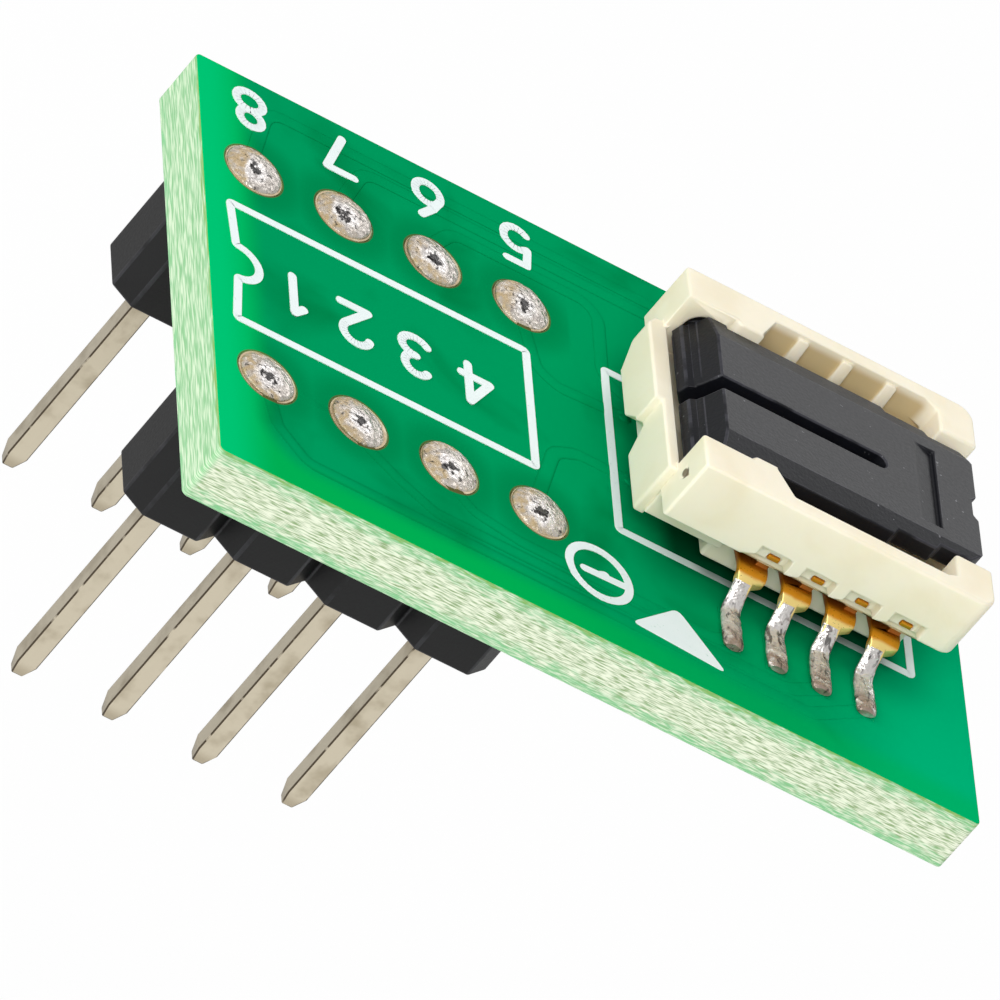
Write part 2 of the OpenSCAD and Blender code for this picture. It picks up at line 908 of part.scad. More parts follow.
// Half of the lid from above: hinge width, step, tab with a cut corner and the thumb notch
module lid_half_plan() {
    step_w = (lid_w + tab_w) / 2;
    polygon([
        [-2 * hinge_x, -sink],
        [-2 * hinge_x, lid_w / 2],
        [lid_step_x, lid_w / 2],
        [lid_step_x + lid_slant, step_w / 2],
        [tab_x, step_w / 2],
        [tab_x + lid_slant, tab_w / 2],
        [tab_end - tab_cut, tab_w / 2],
        [tab_end, tab_w / 2 - tab_cut],
        [tab_end, tab_notch_w / 2],
        [tab_end - tab_notch_t, tab_notch_w / 2 - tab_notch_t],
        [tab_end - tab_notch_t, -sink]
    ]);
}

module flexing_slot() {
    translate([0, 0, -through])
        linear_extrude(base_h + 2 * through) {
            translate([-2 * hinge_x, -slot_w / 2])
                square([2 * hinge_x + slot_end, slot_w]);
            translate([slot_end, 0])
                circle(d = slot_w);
        }
}

// Ramp that deepens towards the tab and ends in a step for a fingertip
module finger_recess() {
    along_y(recess_w)
        polygon([
            [recess_x - recess_l, lid_top],
            [recess_x, lid_top - recess_depth],
            [recess_x, lid_top + through],
            [recess_x - recess_l, lid_top + through]
        ]);
}

module trunnions() {
    translate([-hinge_x, 0, hinge_z])
        rotate([90, 0, 0])
            cylinder(d = trunnion_d, h = 2 * (block_in + trunnion_grip), center = true);
}

module socket_lid() {
    color(lid_grey)
        at_socket()
            difference() {
                union() {
                    intersection() {
                        union() {
                            intersection() {
                                along_y(lid_w)
                                    lid_profile();
                                upright([0, base_h])
                                    both_sides()
                                        lid_half_plan();
                            }
                            along_y(2 * hub_out)
                                hub_profile();
                        }
                        along_x(4 * hinge_x)
                            lid_section();
                    }
                    box(
                        [-presser_l / 2, presser_l / 2],
                        [-presser_w / 2, presser_w / 2],
                        [package_top, plate_z + sink]
                    );
                    trunnions();
                }
                flexing_slot();
                finger_recess();
            }
}

circuit_board();
header_strip(-row_span / 2);  // header_strip_front
header_strip(row_span / 2);  // header_strip_rear
socket_base();
socket_lid();
for (i = [1:pin_count]) {
    plated_hole(i);
    header_pin(i);
    pin_solder(i);
}
for (i = [1:contact_count]) {
    contact_pad(i);
    contact(i);
    contact_solder(i);
}
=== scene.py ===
"""Looks of an IC socket adapter: a drilled board on two pin headers, with a hinged-lid socket."""

import math

import bmesh
import bpy
from mathutils import Matrix, Vector
from mathutils.geometry import intersect_point_line


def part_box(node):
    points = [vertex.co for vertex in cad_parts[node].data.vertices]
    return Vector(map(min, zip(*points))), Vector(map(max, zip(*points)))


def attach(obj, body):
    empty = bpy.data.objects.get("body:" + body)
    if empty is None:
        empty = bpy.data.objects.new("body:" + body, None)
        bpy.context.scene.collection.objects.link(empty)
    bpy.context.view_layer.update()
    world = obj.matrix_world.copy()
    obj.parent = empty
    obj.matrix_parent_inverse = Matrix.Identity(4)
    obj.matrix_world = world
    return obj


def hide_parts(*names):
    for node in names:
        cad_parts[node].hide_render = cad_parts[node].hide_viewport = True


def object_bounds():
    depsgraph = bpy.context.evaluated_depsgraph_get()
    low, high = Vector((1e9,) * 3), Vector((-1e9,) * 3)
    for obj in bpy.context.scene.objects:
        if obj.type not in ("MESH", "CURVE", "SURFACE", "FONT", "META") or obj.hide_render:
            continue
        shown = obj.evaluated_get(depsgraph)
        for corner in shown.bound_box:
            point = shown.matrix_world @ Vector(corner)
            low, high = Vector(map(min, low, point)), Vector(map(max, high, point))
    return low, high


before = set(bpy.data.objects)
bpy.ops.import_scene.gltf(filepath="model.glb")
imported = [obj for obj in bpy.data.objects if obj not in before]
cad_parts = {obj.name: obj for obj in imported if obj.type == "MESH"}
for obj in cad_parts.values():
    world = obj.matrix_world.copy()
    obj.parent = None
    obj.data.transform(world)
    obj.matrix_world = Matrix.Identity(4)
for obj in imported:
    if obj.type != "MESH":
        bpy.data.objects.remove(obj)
CAD_BOX = [list(corner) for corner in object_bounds()]

bl_info = {
    "name": "IC Socket Adapter",
    "version": (1, 0, 0),
    "blender": (4, 5, 0),
    "location": "View3D > Sidebar > Adapter",
    "description": "Dresses the adapter's board, headers, solder, socket and lid",
    "category": "Object",
}

MM = 0.001
PIN_COUNT = 8
CONTACT_COUNT = 8


def numbered(name, count):
    """Names of a row of like CAD nodes."""
    return [f"{name}_{i}" for i in range(1, count + 1)]


def node_middle(node):
    """Middle of a CAD node's box."""
    low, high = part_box(node)
    return (low + high) / 2


def arc(x, y, radius_x, radius_y, start, end, steps=14):
    """Points of an arc, angles in degrees."""
    turns = [math.radians(start + (end - start) * i / steps) for i in range(steps + 1)]
    return [(x + radius_x * math.cos(t), y + radius_y * math.sin(t)) for t in turns]


# Places that the CAD gives in metres, and in millimetres those that the shaders use.
BOARD_LOW, BOARD_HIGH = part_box("circuit_board")
BOARD_TOP = BOARD_HIGH.z
PIN_PLACES = [node_middle(n).xy for n in numbered("header_pin", PIN_COUNT)]
PAD_PLACES = [node_middle(n).xy for n in numbered("contact_pad", CONTACT_COUNT)]
LOW = BOARD_LOW / MM
HIGH = BOARD_HIGH / MM
TOP = BOARD_TOP / MM
SOCKET_X = sum(place.x for place in PAD_PLACES) / CONTACT_COUNT / MM
SOCKET_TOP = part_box("socket_base")[1].z / MM
PIN_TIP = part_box("header_pin_1")[0].z / MM

# Rounding of edges: how near counts as one point, the slot that marks the rounding faces, and how much
# room a rounding may take.
WELD = 0.0005 * MM
FLAT_ANGLE = 0.5
ROUNDING_SLOT = 1
EDGE_SAMPLES = (0.1, 0.3, 0.5, 0.7, 0.9)
STEEP_SIDE = 0.35
ASIDE = 0.6
ROOM_SHARE = 0.4

# Faces of the board that lie at least this level take the mask, the others are cut edges.
MASK_LEVEL = 0.5

# Copper lines from the pins to the socket, in millimetres.
TRACE_ROUTES = (
    ((-3.81, -4.4), (-3.6, -5.4), (-2.8, -6.25), (11.4, -6.25), (12.945, -5.2)),
    ((-1.27, -4.4), (-0.2, -5.2), (0.8, -5.75), (10.8, -5.75), (11.675, -5.2)),
    ((1.27, -4.4), (1.9, -5.0), (3.2, -5.25), (8.7, -5.25), (9.135, -5.0)),
    ((3.81, -3.2), (4.4, -1.2), (5.1, -0.85), (6.6, -0.85)),
    ((3.81, 3.2), (4.1, 1.7), (4.7, 1.36), (6.6, 1.5)),
    ((1.27, 4.4), (1.9, 5.25), (5.7, 5.25), (6.09, 4.9), (6.06, 2.6), (6.8, 2.2)),
    ((-1.27, 4.4), (-0.6, 5.9), (8.2, 5.9), (9.135, 5.2)),
    ((-3.81, 4.4), (-3.3, 6.4), (10.0, 6.4), (11.675, 5.2)),
)
TRACE_CORNER = 0.6 * MM

# White printing, in millimetres: outlines, the mark in the circle, and the arrow.
LAYER_STEP = 0.0005 * MM
NOTCH = arc(-4.47, 0.0, 0.62, 0.6, 90, -90, 16)
OUTLINES = (
    [(-4.57, 2.13), *NOTCH, (-4.57, -2.13), (3.82, -2.13), (3.82, 2.13)],
    [(6.13, 2.93), (6.13, -2.93), (14.53, -2.93), (14.53, 2.93)],
    arc(5.42, -4.98, 0.85, 0.85, 0, 350, 35),
)
OUTLINE_CORNER = 0.08 * MM
MARK = ([(4.99, -5.05), (6.2, -5.0)], [(5.48, -5.0), (5.6, -4.94)])
ARROW = ((6.25, -6.18), (8.94, -6.38), (7.64, -4.87))
ARROW_ROUND = 0.24
ARROW_STEPS = 4

# Numerals as strokes in a box of height 1, and where they stand.
NUMERAL_W = 0.6
NUMERALS = {
    1: [[(0.14, 0.8), (0.34, 1.0)], [(0.34, 1.0), (0.34, 0.0)]],
    2: [arc(0.3, 0.72, 0.28, 0.28, 165, -38) + [(0.02, 0.0)], [(0.02, 0.0), (0.6, 0.0)]],
    3: [arc(0.3, 0.75, 0.25, 0.25, 150, -90), arc(0.3, 0.25, 0.29, 0.25, 90, -150)],
    4: [[(0.45, 0.0), (0.45, 1.0)], [(0.45, 1.0), (0.0, 0.3)], [(0.0, 0.3), (0.6, 0.3)]],
    5: [
        [(0.54, 1.0), (0.1, 1.0)],
        [(0.1, 1.0), (0.06, 0.52)],
        arc(0.29, 0.31, 0.29, 0.31, 132, -140),
    ],
    6: [arc(0.3, 0.3, 0.28, 0.3, 152, 512, 22), [(0.05, 0.42), (0.2, 0.7), (0.46, 1.0)]],
    7: [[(0.0, 1.0), (0.6, 1.0)], [(0.6, 1.0), (0.22, 0.0)]],
    8: [arc(0.3, 0.76, 0.24, 0.24, -90, 270, 18), arc(0.3, 0.26, 0.29, 0.26, 90, -270, 18)],
}
NUMERAL_CORNER = 0.05 * MM
FAR_ROW_Y = 6.1
MIDDLE_ROW = {1: -2.85, 2: -1.15, 3: 0.55, 4: 2.25}
MIDDLE_ROW_Y = -0.2

# Solder: a joint's height from rim to middle, a tail's route (across, up) and its width along it.
JOINT_PROFILE = (
    (0.0, 0.0), (0.05, 0.3), (0.16, 0.52), (0.4, 0.76),
    (0.58, 0.92), (0.74, 1.0), (0.88, 0.96), (1.0, 0.92),
)
JOINT_TURN = ((-0.06, -0.06, 0.0), (0.06, 0.06, 0.3))
JOINT_SIZE = ((0.95, 0.95, 0.86), (1.05, 1.05, 1.1))
JOINT_LUMPS = 3.2 / MM
TAIL_ROUTE = ((5.4, 0.1), (4.07, 0.11), (3.65, 0.71))
TAIL_BEND = 0.35 * MM
TAIL_SWELL = ((0.0, 0.7), (0.04, 0.92), (0.12, 1.0), (0.4, 1.0), (0.65, 0.92), (0.85, 0.84), (1.0, 0.84))
TAIL_LUMPS = 2.6 / MM

# Colour sockets of a Mix node, and the gloss of the black mouldings.
MIX_SHARE, MIX_FIRST, MIX_SECOND = 0, 6, 7
MIX_RESULT = 2
BLACK_SPECULAR = 0.3

# Stage, in metres; the sensor's width in millimetres.
LAMP_PLACES = {"key": (-0.22, -0.36, 0.32), "rim": (0.25, 0.4, 0.3), "fill": (-0.42, 0.02, 0.16)}
LAMP_SIZE = 0.3
FLOOR_REACH = 3.0
FLOOR_FADE = (-0.03, 0.07)
FLOOR_FAR = 0.6
FLOOR_GLOW = 0.9
HORIZON = 0.95
SENSOR_W = 36.0
CLIP_START, CLIP_END = 0.01, 20.0
WHITE = (1.0, 1.0, 1.0, 1.0)


def colour(name, description, red, green, blue):
    """A colour property, given as a screen colour of 0 to 255 a channel and kept as a linear one."""
    channels = [c / 255 for c in (red, green, blue)]
    linear = [c / 12.92 if c <= 0.04045 else ((c + 0.055) / 1.055) ** 2.4 for c in channels]
    return bpy.props.FloatVectorProperty(
        name=name,
        description=description,
        subtype="COLOR",
        size=4,
        min=0.0,
        max=1.0,
        default=(*linear, 1.0),
    )


def length(name, description, millimetres):
    """A length property, given in millimetres and kept in metres."""
    return bpy.props.FloatProperty(
        name=name,
        description=description,
        subtype="DISTANCE",
        unit="LENGTH",
        min=0.0,
        precision=5,
        default=millimetres * MM,
    )


def point(name, description, *millimetres):
    """A place property, given in millimetres and kept in metres."""
    return bpy.props.FloatVectorProperty(
        name=name,
        description=description,
        subtype="TRANSLATION",
        unit="LENGTH",
        default=[c * MM for c in millimetres],
    )


def amount(name, description, default, most=10.0):
    """A plain number property."""
    return bpy.props.FloatProperty(
        name=name,
        description=description,
        subtype="NONE",
        min=0.0,
        max=most,
        default=default,
    )


def angle(name, description, degrees):
    """An angle property, given in degrees and kept in radians."""
    return bpy.props.FloatProperty(
        name=name,
        description=description,
        subtype="ANGLE",
        unit="ROTATION",
        default=math.radians(degrees),
    )


def settings_of(name, description, group):
    """A property that holds a group of settings."""
    return bpy.props.PointerProperty(name=name, description=description, type=group)


class AdapterBoardSettings(bpy.types.PropertyGroup):
    """Solder mask and cut edges of the board."""

    pour: colour("Mask over copper", "Solder mask where copper lies under it", 0, 152, 92)
    # Darker patches of the mask, also the colour of the painted shade round the joints and of the copper
    # lines' flanks.
    pour_deep_and_shade: colour("Deep mask", "Darker patches of the mask", 0, 124, 68)
    # Painted sheen: brighter, bluer mask towards the socket's end.
    pour_end_sheen: colour("Mask by the socket", "Bluer mask at the socket's end", 0, 174, 116)
    bare: colour("Mask on laminate", "Solder mask along the bare near border", 0, 172, 82)
    bare_left: colour("Mask at the left", "Solder mask at the left edge", 0, 194, 114)
    fibre: colour("Pale fibre", "Glass fibre in the cut edge", 233, 240, 217)
    resin: colour("Resin", "Green resin in the cut edge", 132, 198, 142)
    pit: colour("Torn fibre", "Small olive tears in the cut edge", 138, 168, 116)
    fringe: colour("Fringe", "Olive fringe where the mask ends", 128, 168, 66)
    # Flux stain and painted contact shade in a thin ring round each joint.
    flux_and_shade_halo: colour("Halo", "Brown stain of flux round the joints", 104, 76, 44)
    shade: colour("Shade", "Mask in the shade of the socket", 0, 36, 20)
    margin: length("Near margin", "Bare border along the near edge", 0.8)
    left_margin: length("Left margin", "Bare border along the left edge", 1.3)
    margin_round: length("Margin rounding", "Corner radius of the copper area", 1.3)
    edge_round: length("Edge rounding", "Rounding of the board's edges", 0.04)


class AdapterPrintSettings(bpy.types.PropertyGroup):
    """White printing and the copper lines under the mask."""

    ink: colour("Ink", "White printing ink", 236, 246, 246)
    ink_thin: colour("Thin ink", "Ink where it was laid thinly", 216, 234, 230)
    ink_hole: colour("Pinholes", "Green that shows through pinholes", 150, 200, 180)
    ink_shade: colour("Shaded ink", "Ink in the shade of the socket", 64, 88, 78)
    line_w: length("Line width", "Width of the printed outlines", 0.23)
    stroke_w: length("Stroke width", "Width of the printed numerals' strokes", 0.235)
    ink_h: length("Ink height", "Thickness of the ink", 0.018)
    numeral_h: length("Numeral height", "Height of the pin numbers by the far row", 1.3)
    middle_h: length("Middle numeral height", "Height of the pin numbers in the outline", 1.35)
    trace_w: length("Trace width", "Width of a copper line under the mask", 0.4)
    trace_h: length("Trace height", "How far a copper line lifts the mask", 0.012)


class AdapterHeaderSettings(bpy.types.PropertyGroup):
    """Pin headers under the board."""

    plastic: colour("Header plastic", "Black moulding of the strips", 13, 13, 14)
    plastic_deep: colour("Deep black", "Darker clouds in the strips", 10, 10, 11)
    # Lighter edges of the strips: painted highlight along the rounded edges, partly wear.
    plastic_edge_highlight: colour("Header edges", "Rubbed edges of the strips", 46, 46, 50)
    pin: colour("Pin plating", "Warm bright plating of the pins", 206, 196, 174)
    pin_dull: colour("Dull plating", "Duller streaks on the pins", 166, 154, 130)
    # Dark lines along the pins' edges: painted shade.
    pin_edge_shade: colour("Pin edges", "Dark lines along the pins' edges", 84, 74, 60)
    strip_round: length("Strip rounding", "Rounding of the strips' edges", 0.06)
    pin_round: length("Pin rounding", "Rounding of the pins' edges", 0.035)


class AdapterSolderSettings(bpy.types.PropertyGroup):
    """Solder joints round the pins and on the contacts' tails."""

    tin: colour("Solder", "Bright solder", 238, 233, 230)
    joint: colour("Joint solder", "Solder of the pin joints", 206, 198, 190)
    shade: colour("Dull solder", "Grey grain of the solder", 160, 150, 146)
    # Dark specks, painted shade in the joints' pits and painted dark reflections as streaks on the tails.
    dark_and_painted_shade: colour("Dark solder", "Pits and streaks in the solder", 38, 34, 33)
    flux: colour("Flux", "Tan flux left on the solder", 188, 165, 126)
    brown: colour("Brown flux", "Browned flux on the contacts' feet", 150, 128, 112)
    ring: colour("Ring", "Pale rim of each plated hole", 222, 206, 178)
    ring_shade: colour("Ring shade", "Brown grain of the plated holes' rims", 164, 130, 84)
    joint_h: length("Joint height", "Height of a joint above the board", 0.175)
    lump: length("Lumps", "Unevenness of the joints", 0.03)
    tail_w: length("Tail width", "Width of a tinned tail", 0.58)
    tail_t: length("Tail thickness", "Thickness of a tinned tail", 0.24)
    tail_lump: length("Tail lumps", "Unevenness of the tinned tails", 0.035)
    seed: bpy.props.IntProperty(
        name="Seed",
        description="Picks the unevenness of the solder",
        subtype="NONE",
        min=0,
        default=7,
    )


class AdapterSocketSettings(bpy.types.PropertyGroup):
    """Socket base, lid and contacts."""

    ivory: colour("Base plastic", "Ivory moulding of the base", 246, 237, 214)
    ivory_deep: colour("Deep ivory", "Yellower clouds in the ivory", 240, 229, 200)
    # Paler edges of the base: painted highlight along the rounded edges.
    ivory_edge_highlight: colour("Ivory edges", "Paler edges of the base", 250, 246, 228)
    lid: colour("Lid plastic", "Black moulding of the lid", 15, 16, 22)
    lid_deep: colour("Deep lid", "Darker clouds in the lid", 12, 13, 18)
    # Lighter edges of the lid: painted highlight along the bevels and creases, partly wear.
    lid_edge_highlight: colour("Lid edges", "Rubbed edges of the lid", 54, 54, 60)
    dust: colour("Dust", "Specks of dust on the lid", 170, 170, 176)
    # Painted shade: tan deep in the pockets of the walls.
    pocket_shade: colour("Pockets", "Tan shade of the pockets in the walls", 206, 180, 122)
    # Painted shade in the shallow moulded pit.
    pit_shade: colour("Pit shade", "Dark of the moulded pit", 88, 76, 46)
    pit: point("Pit", "Middle of the moulded pit in the front hinge block", 6.35, -3.12, 6.49)
    pocket_wall: length("Pocket wall", "Distance of the pockets' walls from the middle", 3.23)
    gold: colour("Gold", "Plating of the contacts", 226, 150, 26)
    # Painted shade as browner gold under the socket's wall, and painted highlight as pale gold at the
    # shoulders' lips.
    gold_shaded: colour("Deep gold", "Browner plating under the socket", 150, 78, 4)
    gold_lit: colour("Pale gold", "Lit plating at the shoulders' lips", 255, 224, 140)
    tinned: colour("Tinned tail", "Contacts where solder covers them", 166, 150, 138)
    base_round: length("Base rounding", "Rounding of the base's edges", 0.09)
    lid_round: length("Lid rounding", "Rounding of the lid's edges", 0.05)
    contact_round: length("Contact rounding", "Rounding of the contacts' edges", 0.025)


class AdapterStageSettings(bpy.types.PropertyGroup):
    """Floor, lamps and camera."""

    floor: colour("Floor", "Plain white floor", 255, 255, 255)
    floor_drop: length("Floor drop", "Distance from the pins' tips to the floor", 45.0)
    azimuth: angle("Azimuth", "Camera's turn round the object", -27.452)
    elevation: angle("Elevation", "Camera's height over the horizon", 30.173)
    roll: angle("Roll", "Camera's lean", 41.157)
    distance: length("Distance", "Camera's distance from its aim", 347.15)
    aim: point("Aim", "Point at the middle of the picture", 4.33, -0.896, 2.064)
    lens: amount("Lens", "Focal length in millimetres on a 36 mm sensor", 534.0, most=2000.0)
    sky: amount("Sky", "Strength of the even light all round", 0.5)
    key: amount("Key lamp", "Power of the main lamp in watts", 1.62)
    rim: amount("Rim lamp", "Power of the lamp behind in watts", 0.6)
    fill: amount("Fill lamp", "Power of the lamp at the pins' end in watts", 0.7)


class AdapterSettings(bpy.types.PropertyGroup):
    """All settings of the adapter's looks."""

    board: settings_of("Board", "Solder mask and cut edges", AdapterBoardSettings)
    print: settings_of("Printing", "White printing and copper lines", AdapterPrintSettings)
    header: settings_of("Headers", "Strips and pins under the board", AdapterHeaderSettings)
    solder: settings_of("Solder", "Joints of the pins and the tails", AdapterSolderSettings)
    socket: settings_of("Socket", "Base, lid and contacts", AdapterSocketSettings)
    stage: settings_of("Stage", "Floor, lamps and camera", AdapterStageSettings)


def fill(tree, inputs, values):
    """Set inputs to values, or wire them to sockets."""
    for key, value in values.items():
        if isinstance(value, bpy.types.NodeSocket):
            tree.links.new(value, inputs[key])
        else:
            inputs[key].default_value = value


class Nodes:
    """Adds nodes to one tree, and gives back the sockets that hold their results."""

    def __init__(self, tree):
        self.tree = tree

    def add(self, kind, values=None, **options):
        """Add a node, set its options and fill or wire its inputs."""
        node = self.tree.nodes.new(kind)
        for key, value in options.items():
            setattr(node, key, value)
        fill(self.tree, node.inputs, values or {})
        return node

    def out(self, kind, values=None, socket=0, **options):
        """One result of a new node."""
        return self.add(kind, values, **options).outputs[socket]

    def math(self, operation, first, second=0.0, third=0.0, clamp=False):
        """Result of a Math node."""
        values = {0: first, 1: second, 2: third}
        return self.out("ShaderNodeMath", values, operation=operation, use_clamp=clamp)

    def plus(self, first, second, clamp=False):
        """Sum of two values."""
        return self.math("ADD", first, second, clamp=clamp)

    def minus(self, first, second):
        """Difference of two values."""
        return self.math("SUBTRACT", first, second)

    def times(self, first, second, clamp=False):
        """Product of two values."""
        return self.math("MULTIPLY", first, second, clamp=clamp)

    def most(self, first, second):
        """Larger of two values."""
        return self.math("MAXIMUM", first, second)

    def absolute(self, value):
        """A value without its sign."""
        return self.math("ABSOLUTE", value)

    def vector(self, operation, first, second=(0.0, 0.0, 0.0), socket="Vector"):
        """Result of a Vector Math node."""
        return self.out("ShaderNodeVectorMath", {0: first, 1: second}, socket, operation=operation)

    def scaled(self, vector, scale):
        """A vector times a number."""
        return self.out("ShaderNodeVectorMath", {0: vector, "Scale": scale}, "Vector", operation="SCALE")

    def length(self, vector):
        """Length of a vector."""
        return self.vector("LENGTH", vector, socket="Value")

    def axes(self, vector):
        """X, Y and Z of a vector."""
        return self.add("ShaderNodeSeparateXYZ", {0: vector}).outputs

    def joined(self, x=0.0, y=0.0, z=0.0):
        """Vector made of three values."""
        return self.out("ShaderNodeCombineXYZ", {0: x, 1: y, 2: z})

    def mix(self, share, first, second):
        """Colour between two colours."""
        values = {MIX_SHARE: share, MIX_FIRST: first, MIX_SECOND: second}
        return self.out("ShaderNodeMix", values, MIX_RESULT, data_type="RGBA")

    def step(self, value, low, high):
        """Smooth step of a value, 0 at low and 1 at high."""
        values = {"Value": value, "From Min": low, "From Max": high}
        return self.out("ShaderNodeMapRange", values, "Result", interpolation_type="SMOOTHSTEP")

    def spread(self, value, low, high):
        """A value from 0 to 1 spread between low and high."""
        return self.out("ShaderNodeMapRange", {"Value": value, "To Min": low, "To Max": high}, "Result")

    def curve(self, value, points):
        """A value led through a curve."""
        node = self.add("ShaderNodeFloatCurve", {"Value": value})
        line = node.mapping.curves[0].points
        line[0].location = points[0]
        line[1].location = points[-1]
        for location in points[1:-1]:
            line.new(*location)
        node.mapping.update()
        return node.outputs[0]

    def noise(self, vector, scale, detail=2.0, distortion=0.0):
        """Grey noise of a vector."""
        values = {"Vector": vector, "Scale": scale, "Detail": detail, "Distortion": distortion}
        return self.out("ShaderNodeTexNoise", values, "Fac")

    def bump(self, height, strength, millimetres):
        """Normal bent by a height."""
        values = {"Height": height, "Strength": strength, "Distance": millimetres * MM}
        return self.out("ShaderNodeBump", values, "Normal")

    def place(self):
        """The piece's own coordinates in millimetres."""
        return self.scaled(self.out("ShaderNodeTexCoord", socket="Object"), 1 / MM)

    def group(self, name, values):
        """Results of a shared shader group."""
        tree = bpy.data.node_groups.get(name) or SHARED_GROUPS[name](name)
        return self.add("ShaderNodeGroup", values, node_tree=tree).outputs

    def tinned(self, place, tin, shade, flux, flux_amount):
        """Results of the shared group for solder."""
        values = {"Vector": place, "Tin": tin, "Shade": shade, "Flux": flux, "Flux Amount": flux_amount}
        return self.group("Tinned surface", values)

    def painted(self, geometry, material):
        """Geometry in a material."""
        return self.out("GeometryNodeSetMaterial", {"Geometry": geometry, "Material": material})

    def solder(self, geometry, lump, scale, material):
        """Real geometry pushed in and out by noise, smooth and in a material."""
        real = self.out("GeometryNodeRealizeInstances", {0: geometry})
        swing = self.minus(self.noise(self.out("GeometryNodeInputPosition"), scale), 0.5)
        push = self.scaled(self.out("GeometryNodeInputNormal"), self.times(swing, self.times(lump, 2.0)))
        uneven = self.out("GeometryNodeSetPosition", {"Geometry": real, "Offset": push})
        return self.painted(self.out("GeometryNodeSetShadeSmooth", {"Geometry": uneven}), material)


def new_group(name, kind, inputs, outputs):
    """Nodes of a new group with named sockets, and the sockets inside it."""
    tree = bpy.data.node_groups.new(name, kind)
    for side, sockets in (("INPUT", inputs), ("OUTPUT", outputs)):
        for label, socket_type in sockets.items():
            tree.interface.new_socket(label, in_out=side, socket_type=f"NodeSocket{socket_type}")
    nodes = Nodes(tree)
    return nodes, nodes.add("NodeGroupInput").outputs, nodes.add("NodeGroupOutput").inputs


def new_shader_group(name, inputs, outputs):
    """Nodes of a new shader group, and the sockets inside it."""
    return new_group(name, "ShaderNodeTree", inputs, outputs)


def new_shaping(name, **inputs):
    """Nodes of a new geometry tree that ends in one material, and the sockets inside it."""
    given = {"Geometry": "Geometry", **inputs, "Material": "Material"}
    return new_group(name, "GeometryNodeTree", given, {"Geometry": "Geometry"})


def grain_group(name):
    """Moulding grain: broad clouds, fine grain and a height made of both."""
    n, given, result = new_shader_group(
        name,
        {"Vector": "Vector", "Scale": "Float"},
        {"Broad": "Float", "Fine": "Float", "Height": "Float"},
    )
    broad = n.noise(given["Vector"], given["Scale"], 3.0, 0.4)
    fine = n.noise(given["Vector"], n.times(given["Scale"], 14.0), 4.0)
    height = n.math("MULTIPLY_ADD", broad, 0.3, fine)
    fill(n.tree, result, {"Broad": broad, "Fine": fine, "Height": height})
    return n.tree


def edge_light_group(name):
    """A second colour along the rounded outer edges, broken by noise: on plastic a painted highlight with
    some wear, on the pins a painted dark line of shade.
    """
    n, given, result = new_shader_group(
        name,
        {"Vector": "Vector", "Color": "Color", "Edge Color": "Color", "Amount": "Float"},
        {"Color": "Color"},
    )
    edge = n.out("ShaderNodeAttribute", None, "Fac", attribute_name="outer_edge")
    patches = n.step(n.noise(given["Vector"], 1.7, 3.0), 0.3, 0.65)
    share = n.times(n.times(edge, patches), given["Amount"], clamp=True)
    fill(n.tree, result, {"Color": n.mix(share, given["Color"], given["Edge Color"])})
    return n.tree


def tinned_group(name):
    """Hand-laid solder: grey crystal grain, tan flux in patches, and its lumps."""
    n, given, result = new_shader_group(
        name,
        {"Vector": "Vector", "Tin": "Color", "Shade": "Color", "Flux": "Color", "Flux Amount": "Float"},
        {"Color": "Color", "Flux Mask": "Float", "Height": "Float"},
    )
    cells = {"Vector": given["Vector"], "Scale": 7.0, "Randomness": 1.0}
    grain = n.out("ShaderNodeTexVoronoi", cells, "Distance", feature="F1")
    crystal = n.noise(given["Vector"], 6.0, 4.0, 1.0)
    metal = n.mix(n.step(crystal, 0.54, 0.72), given["Tin"], given["Shade"])
    patches = n.step(n.noise(given["Vector"], 2.2, 4.0, 0.8), 0.3, 0.5)
    flux = n.times(patches, given["Flux Amount"], clamp=True)
    height = n.math("MULTIPLY_ADD", grain, 0.6, crystal)
    tint = n.mix(flux, metal, given["Flux"])
    fill(n.tree, result, {"Color": tint, "Flux Mask": flux, "Height": height})
    return n.tree


def socket_shade_group(name):
    """Shade on the board round a box that keeps the light off it, deepest inside the box."""
    n, given, result = new_shader_group(
        name,
        {"Vector": "Vector", "Color": "Color", "Dark": "Color", "Middle": "Vector", "Half": "Vector"},
        {"Color": "Color"},
    )
    aside = n.vector("ABSOLUTE", n.vector("SUBTRACT", given["Vector"], given["Middle"]))
    away = n.length(n.vector("MAXIMUM", n.vector("SUBTRACT", aside, given["Half"])))
    close = n.times(n.step(away, 0.7, 0.0), 0.45)
    wide = n.times(n.step(away, 2.1, 0.3), 0.4)
    share = n.plus(close, wide, clamp=True)
    fill(n.tree, result, {"Color": n.mix(share, given["Color"], given["Dark"])})
    return n.tree


SHARED_GROUPS = {
    "Moulded grain": grain_group,
    "Rubbed edge": edge_light_group,
    "Tinned surface": tinned_group,
    "Socket shade": socket_shade_group,
}


def new_material(name):
    """A material, its nodes and the piece's own coordinates in millimetres."""
    material = bpy.data.materials.new(name)
    material.use_nodes = True
    nodes = Nodes(material.node_tree)
    return material, nodes, nodes.place()


def dress(material, values):
    """Set or wire inputs of a material's shader."""
    fill(material.node_tree, material.node_tree.nodes["Principled BSDF"].inputs, values)
    return material


def stain(material, share_of, tint):
    """Blend a second colour over a material's own, by a share worked out from the place."""
    n = Nodes(material.node_tree)
    below = n.tree.nodes["Principled BSDF"].inputs["Base Color"].links[0].from_socket
    dress(material, {"Base Color": n.mix(share_of(n, n.place()), below, tint)})


